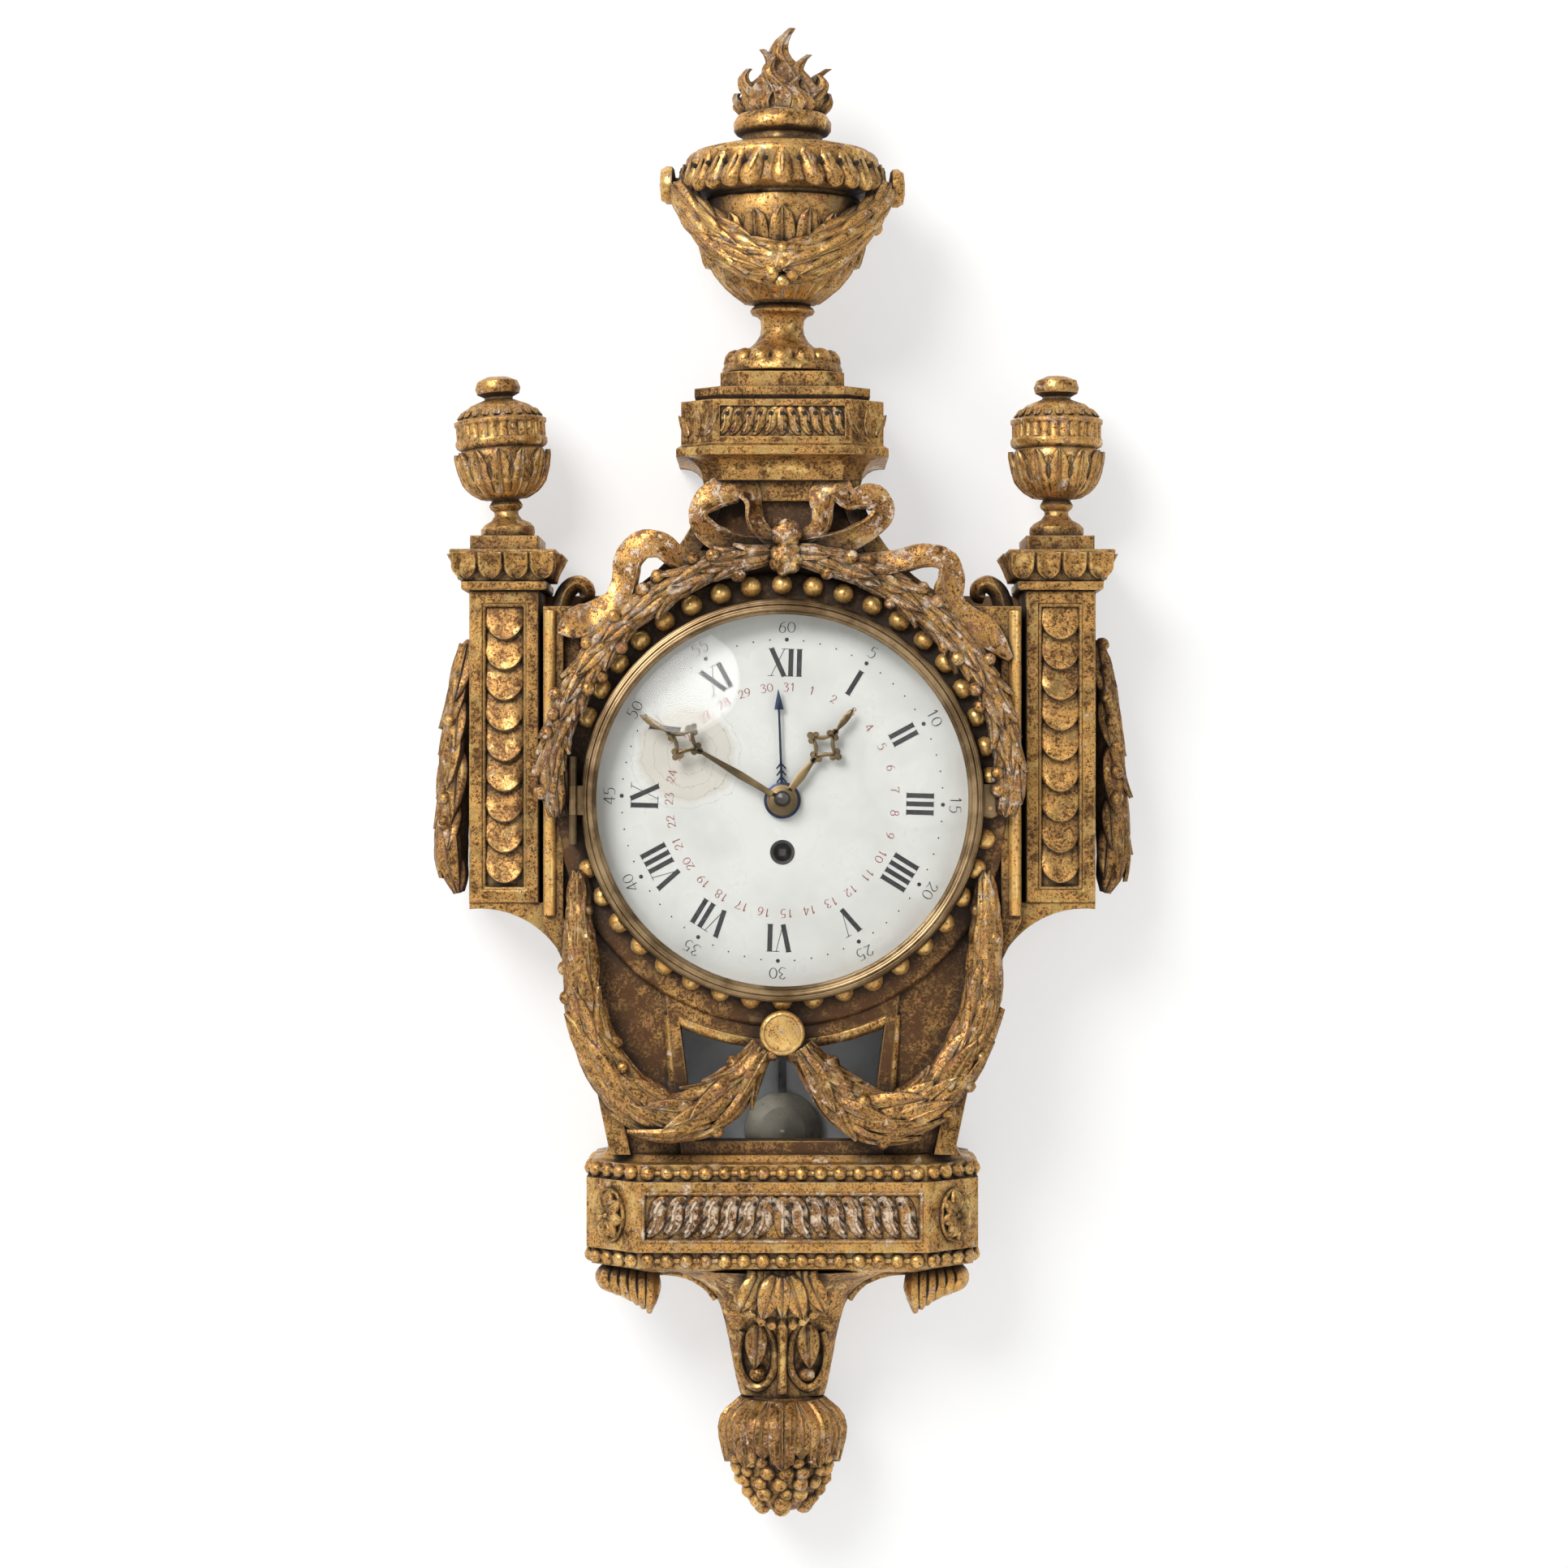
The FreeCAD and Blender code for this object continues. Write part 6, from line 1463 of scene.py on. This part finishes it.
SCROLL_LEAVES = [(115.0, 110.0, 13.0), (108.5, 111.0, 11.0), (103.0, 112.5, 9.0)]    # (x, z, length)


def ribbon(carving, stations, middle, count):
    """A carved ribbon that bends round a middle point, through stations of (x, z, depth, width, lean).

    A great lean shows its flat side to the front.
    """
    line = curve([point(*station[:3]) for station in stations], count)
    shape = curve([station[3:] for station in stations], count)
    facing = []
    for k, p in enumerate(line):
        flat_side = FORWARD.cross(heading(line, k)).normalized()
        if flat_side.dot(p - middle) < 0:
            flat_side = -flat_side
        facing.append((flat_side + FORWARD * (1.6 * shape[k].y)).normalized())
    band(carving, line, facing, [v.x * RIBBON_WIDTH for v in shape], RIBBON_THICK, RIBBON_DISH)


def make_bow():
    bow = Carving()
    ribbon(bow, LEFT_LOOP, point(-31, 169, 90), 56)
    ribbon(bow, RIGHT_LOOP, point(36, 167, 90), 64)
    ribbon(bow, LEFT_TAIL, point(-76, 126, 96), 56)
    ribbon(bow, RIGHT_TAIL, point(74, 120, 96), 56)
    bow.make("ribbon_bow_carved", GILT_CHIPPED, replaces=["ribbon_bow"], uneven=0.5)
    knot = Carving()
    draw = random.Random(71)
    for x, z, r, depth in KNOTS:
        profile = [(4, -18), (r, -6), (r * 1.02, 0), (r * 0.8, 3.2), (r * 0.4, 4.6), (0.6, 4.9)]
        spin(knot, profile, point(x, z, depth), FORWARD, 54, gadroons(KNOT_LOBES, 0.16, 1, 4))
        for k in range(KNOT_LOBES):
            a = 2 * math.pi * (k + draw.uniform(-0.2, 0.2)) / KNOT_LOBES
            away = RIGHT * math.cos(a) + UP * math.sin(a)
            pearl(knot, point(x, z, depth - 0.5) + away * r * 0.72, r * 0.36, FORWARD + away * 0.5)
        pearl(knot, point(x, z, depth + 2.2), r * 0.42)
    for x, z in RIBBON_BEADS:
        pearl(knot, point(x, z, 101.0), 4.6)
    knot.make("bow_knot_carved", GILT_CHIPPED, replaces=["bow_knot"], uneven=0.6)


def make_shoulder_scrolls():
    """A small leaf on each shoulder that rises and curls over beside the capital."""
    scrolls = Carving()
    for side in BOTH_SIDES:
        line, sizes = fitted([(side * x, z, SCROLL_DEPTH) for x, z in SCROLL], SCROLL_RADII, 30)
        tube(scrolls, line, sizes, FORWARD, 12, 2.0)
        for x, z, long in SCROLL_LEAVES:
            along = Vector((-side * 0.5, 0, 1))
            root = point(side * x, z, SCROLL_DEPTH)
            leaf(scrolls, root, along, FORWARD, long, wide=8.0, thick=5.0, curl=2.0)
    scrolls.make("shoulder_scroll_leaves", GILT, replaces=["shoulder_scrolls"], uneven=0.3)


make_bow()
make_shoulder_scrolls()


# Console under the base, and the pendant
BASE_FOOT = -283.0
CONSOLE_HIGH = 80.0
CONSOLE_BACK = 1.0
FLANK_SHARES = (-1, -0.97, -0.86, -0.7, -0.5, -0.3, -0.1, 0, 0.1, 0.3, 0.5, 0.7, 0.86, 0.97, 1)
DROP_X = 15.0
# Leaves of a drop, one over another, are (root z, length, width, lift)
DROP_LEAVES = ((-317, 27, 14, 2.0), (-319, 24, 9, 4.5), (-322, 18, 6, 6.5))
DROP_BERRY_Z = -348
DROP_RIM = ((11, -317), (5, -331), (6, -348), (15, -357), (24, -350), (27, -337), (24, -322))
DROP_RIM_RADII = [2.4, 2.8, 3.0, 3.2, 3.0, 2.8, 2.2]
VOLUTE_STEM = ((40, -303), (46, -295), (55, -289), (66, -285.5), (78, -284.5))
VOLUTE_STEM_RADII = [2.6, 3.0, 3.4, 3.8, 4.2]
VOLUTE_LEAVES = 6


def console_front(z):
    t = (BASE_FOOT - z) / CONSOLE_HIGH
    return 52.0 + 38.0 * (1 - t) ** 3


def make_console():
    """Scrolled bracket: hollow flanks with rolled edges and a rib, hung with leaf drops."""
    bracket = Carving()
    rows = []
    for k in range(33):
        t = (k / 32) ** 1.5
        z = BASE_FOOT - CONSOLE_HIGH * t
        half = 25.5 + 14.0 * (1 - t) ** 0.8 + 28.5 * math.exp(-t * 9.0)
        row = []
        for share in FLANK_SHARES:
            bulge = 1 - 0.26 * abs(share) ** 2.2
            roll = 3.0 * math.exp(-((abs(share) - 0.86) / 0.1) ** 2)
            row.append(point(half * share, z, console_front(z) * bulge + roll))
        rows.append(row + [point(half, z, CONSOLE_BACK), point(-half, z, CONSOLE_BACK)])
    bracket.rows(rows)
    rib = [point(0, z, console_front(z) + 1.5) for z in (-318, -330, -345, -360)]
    tube(bracket, rib, [4.0, 3.2, 3.0, 3.4])
    bracket.make("console_bracket", GILT, replaces=["console"], uneven=0.3)
    drops = Carving()
    for side in BOTH_SIDES:
        for z, long, wide, lift in DROP_LEAVES:
            root = point(side * DROP_X, z, console_front(z) - 1.0 + lift * 0.4)
            along = Vector((side * 0.06, 0.1, -1))
            leaf(drops, root, along, FORWARD, long, wide, thick=4.5, curl=1.0, lift=1.5, steps=9)
        pearl(drops, point(side * DROP_X, DROP_BERRY_Z, console_front(DROP_BERRY_Z) + 0.5), 5.2)
        rim = [(side * x, z, console_front(z) - 0.12 * x) for x, z in DROP_RIM]
        line, sizes = fitted(rim, DROP_RIM_RADII, 30)
        tube(drops, line, sizes, FORWARD, 8)
    drops.make("console_leaf_drops", GILT_AGED, uneven=0.35)


def make_acanthus_head():
    """Leaf that falls from the base over the middle of the console and curls out at its tip."""
    head = Carving()
    for k in range(-4, 5):
        start, spread = 4.4 * k, 6.2 * k
        foot = -315.0 + 0.75 * k * k
        path = [(start, -281, 88), (start * 1.1, -291, 88), (spread * 0.96, -302, 84),
                (spread, foot + 4, 84), (spread * 0.98, foot, 89)]
        line, sizes = fitted(path, [3.6, 4.6, 5.2, 4.8, 2.4], 14)
        tube(head, line, sizes, FORWARD, 9, 1.2)
    for side in BOTH_SIDES:
        leaf(head, point(side * 4, -283, 93), Vector((side * 0.3, 0.1, -1)), FORWARD, long=27, wide=15,
             thick=5.0, curl=4.0, lift=3.0, steps=10)
        leaf(head, point(side * 15, -283, 89), Vector((side * 0.45, 0.2, -1)), FORWARD, long=25, wide=13,
             thick=5.0, curl=3.0, lift=3.0, steps=10)
    leaf(head, point(0, -284, 95), Vector((0, 0.05, -1)), FORWARD, long=24, wide=10,
         thick=4.0, curl=3.0, lift=2.0, steps=10)
    head.make("console_acanthus", GILT_WORN, replaces=["console_leaf"], uneven=0.35)


def make_volutes():
    """Curled leaves that hang under the ends of the base."""
    leaves = Carving()
    for side in BOTH_SIDES:
        line, sizes = fitted([(side * x, z, 50.0) for x, z in VOLUTE_STEM], VOLUTE_STEM_RADII, 24)
        tube(leaves, line, sizes, UP)
        for k in range(VOLUTE_LEAVES):
            t = k / (VOLUTE_LEAVES - 1)
            root_x, root_z = 105.0 - 25.0 * t, -282.0
            tip_x, tip_z = 98.5 - 18.0 * t, -297.0 - 12.5 * t
            swell_x = max(root_x, tip_x) + 2.0 - 3.0 * t
            path = [(side * root_x, root_z, 58.0), (side * swell_x, (root_z + tip_z) / 2, 60.0),
                    (side * tip_x, tip_z, 56.0)]
            line, sizes = fitted(path, [4.4, 6.0, 1.8], 12)
            tube(leaves, line, sizes, FORWARD, 10, 2.4)
    leaves.make("console_volute_leaves", GILT_WORN, replaces=["console_volutes"], uneven=0.35)


PENDANT_AXIS = point(0, 0, 38.0)
PENDANT = [(3.0, -434.5), (12, -431.5), (20, -425), (26, -415), (29.5, -404), (32, -396), (34.0, -388),
           (34.6, -381), (33.0, -375), (29.0, -370), (23.5, -366), (20.0, -363.0)]
# Rings of berries are (height, count)
BERRY_RINGS = ((-399, 16), (-406, 15), (-413, 13), (-419.5, 10), (-425.5, 7), (-430, 4))


def make_pendant():
    """Cup of drooping leaves with a cluster of berries hanging out of it."""
    cup = Carving()
    spin(cup, [(r * 0.94, z) for r, z in PENDANT], PENDANT_AXIS, UP, 64)
    for turn in range(0, 360, 40):
        wrap_leaf(cup, PENDANT, PENDANT_AXIS, turn, z0=-364.0, z1=-403.0, wide=22.0, thick=6.0,
                  steps=12, lobes=1, droop=2.0)
    for turn in range(20, 380, 40):
        wrap_leaf(cup, PENDANT, PENDANT_AXIS, turn, z0=-364.0, z1=-397.0, wide=15.0, thick=3.6,
                  steps=10, droop=1.0)
    cup.make("pendant_leaf_cup", GILT_AGED, replaces=["pendant"], uneven=0.35)
    berries = Carving()
    draw = random.Random(83)
    for z, count in BERRY_RINGS:
        reach = radius_at(PENDANT, z) * 0.93
        for k in range(count):
            a = 2 * math.pi * (k + draw.uniform(-0.25, 0.25)) / count
            place = PENDANT_AXIS + outward(a, reach, z)
            pearl(berries, place, draw.uniform(4.4, 5.8), outward(a, z=-0.35))
    berries.make("pendant_berries", GILT_WORN, uneven=0.3)


make_console()
make_acanthus_head()
make_volutes()
make_pendant()


# CAD nodes in the materials of what they are, whether they show or a visual piece replaces them
NODE_SURFACES = [
    (GILT, "wing_brackets pilasters capitals side_urn_right side_urn_left shoulder_scrolls pedestal "
           "urn_foot urn_bowl urn_cover urn_flame urn_knobs festoon_button console"),
    (GILT_PLAIN, "case_carcass"),
    # the front panel takes the shaded gilding, as painted shade under the dial
    (GILT_SHADED, "front_panel"),
    (GILT_WORN, "dial_surround side_drops urn_garland ribbon_bow laurel_branches festoons base_plinth "
                "plinth_beads console_leaf console_volutes pendant"),
    (GILT_CHIPPED, "bow_knot corner_rosettes"),
    (WOOD, "back_board"),
    (ENAMEL, "dial"),
    (GLASS, "bezel_glass"),
    (PANE, "window_glass"),
    (BRASS, "dial_seat_ring movement_back_plate movement_front_plate movement_drum movement_straps "
            "back_cock hour_pipe date_pipe rating_nut"),
    (BEZEL_BRASS, "bezel"),
    (HAND_BRASS, "bezel_hinge minute_hand hour_hand"),
    (BOB_METAL, "pendulum_bob"),
    (STEEL, "date_hand"),
    (IRON, "hanger_plate winding_arbor minute_arbor crutch pendulum_rod"),
]
for surface, names in NODE_SURFACES:
    for name in names.split():
        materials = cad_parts[name].data.materials
        materials.clear()
        materials.append(surface)


# Stage: wall, floor, lights and camera, in metres
STAGE_HALF = 4.0
WALL_Y = 0.001
FLOOR_Z = -0.78
WALL_GLOW = 0.55            # share of the wall that shows white to the eye whatever its shade
ROOM_BRIGHT_WAY = (-0.45, -0.1, 0.6)
ROOM_DARK, ROOM_BRIGHT = 0.16, 0.80
ROOM_STRENGTH = 0.75
CAMERA_PLACE = (0.001, -2.3, 0.0097)


def plain_surface(name, colour, one_sided):
    """Matt wall paint; a one-sided wall is clear from behind, so that the clock's back can be seen."""
    g = Graph(name)
    shade = g.mottled(g.ramp(g.noise(3.0, 3.0), 0.3, 0.7), colour, 0.985)
    g.set(base_color=shade, roughness=0.9)
    if one_sided:
        rays = g.add("LightPath")
        seen = g.plus(rays["Is Camera Ray"], g.plus(rays["Is Glossy Ray"], rays["Is Transmission Ray"]))
        lit = g.blend(g.times(seen, WALL_GLOW), g.shader.outputs[0], g.add("Emission")[0])
        g.show(g.blend(g.add("NewGeometry")["Backfacing"], lit, g.add("BsdfTransparent")[0]))
    return g.made


def stage_plane(name, corners, surface):
    mesh = bpy.data.meshes.new(name)
    mesh.from_pydata(corners, [], [(0, 1, 2, 3)])
    mesh.materials.append(surface)
    made = bpy.data.objects.new(name, mesh)
    bpy.context.scene.collection.objects.link(made)


def make_stage():
    w = STAGE_HALF
    stage_plane("wall", [(-w, WALL_Y, FLOOR_Z), (w, WALL_Y, FLOOR_Z), (w, WALL_Y, w), (-w, WALL_Y, w)],
                plain_surface("wall_white", (0.93, 0.93, 0.925), True))
    stage_plane("floor", [(-w, -w, FLOOR_Z), (w, -w, FLOOR_Z), (w, w, FLOOR_Z), (-w, w, FLOOR_Z)],
                plain_surface("floor_pale", (0.80, 0.80, 0.79), False))


def make_lamp(name, place, size, watts):
    """A round soft lamp that looks at the dial."""
    light = bpy.data.lights.new(name, "AREA")
    light.shape = "DISK"
    light.size = size
    light.energy = watts
    made = bpy.data.objects.new(name, light)
    made.location = place
    made.rotation_euler = (-Vector(place)).to_track_quat("-Z", "Y").to_euler()
    bpy.context.scene.collection.objects.link(made)


def make_world():
    """Soft room light, a little brighter from the upper left."""
    world = bpy.data.worlds.new("room")
    bpy.context.scene.world = world
    world.use_nodes = True
    tree = world.node_tree
    coords = tree.nodes.new("ShaderNodeTexCoord").outputs["Generated"]
    slope = tree.nodes.new("ShaderNodeVectorMath")
    slope.operation = "DOT_PRODUCT"
    slope.inputs[1].default_value = ROOM_BRIGHT_WAY
    tree.links.new(coords, slope.inputs[0])
    ramp = tree.nodes.new("ShaderNodeMapRange")
    for socket, value in zip(ramp.inputs[1:5], (-0.7, 0.7, ROOM_DARK, ROOM_BRIGHT)):
        socket.default_value = value
    tree.links.new(slope.outputs["Value"], ramp.inputs[0])
    tree.links.new(ramp.outputs[0], tree.nodes["Background"].inputs["Color"])
    tree.nodes["Background"].inputs["Strength"].default_value = ROOM_STRENGTH


def make_camera():
    data = bpy.data.cameras.new("camera")
    data.sensor_width = 36.0
    data.lens = 85.0
    made = bpy.data.objects.new("camera", data)
    made.location = CAMERA_PLACE
    made.rotation_euler = (math.radians(90), 0, 0)
    bpy.context.scene.collection.objects.link(made)
    bpy.context.scene.camera = made


make_stage()
make_world()
make_lamp("key", (-1.3, -2.2, 1.6), 1.5, 78.0)
make_lamp("fill", (1.8, -2.2, 0.4), 1.6, 10.0)
make_lamp("behind", (-1.2, 2.0, 1.2), 1.4, 30.0)
make_camera()
bpy.context.scene.view_settings.view_transform = "Standard"
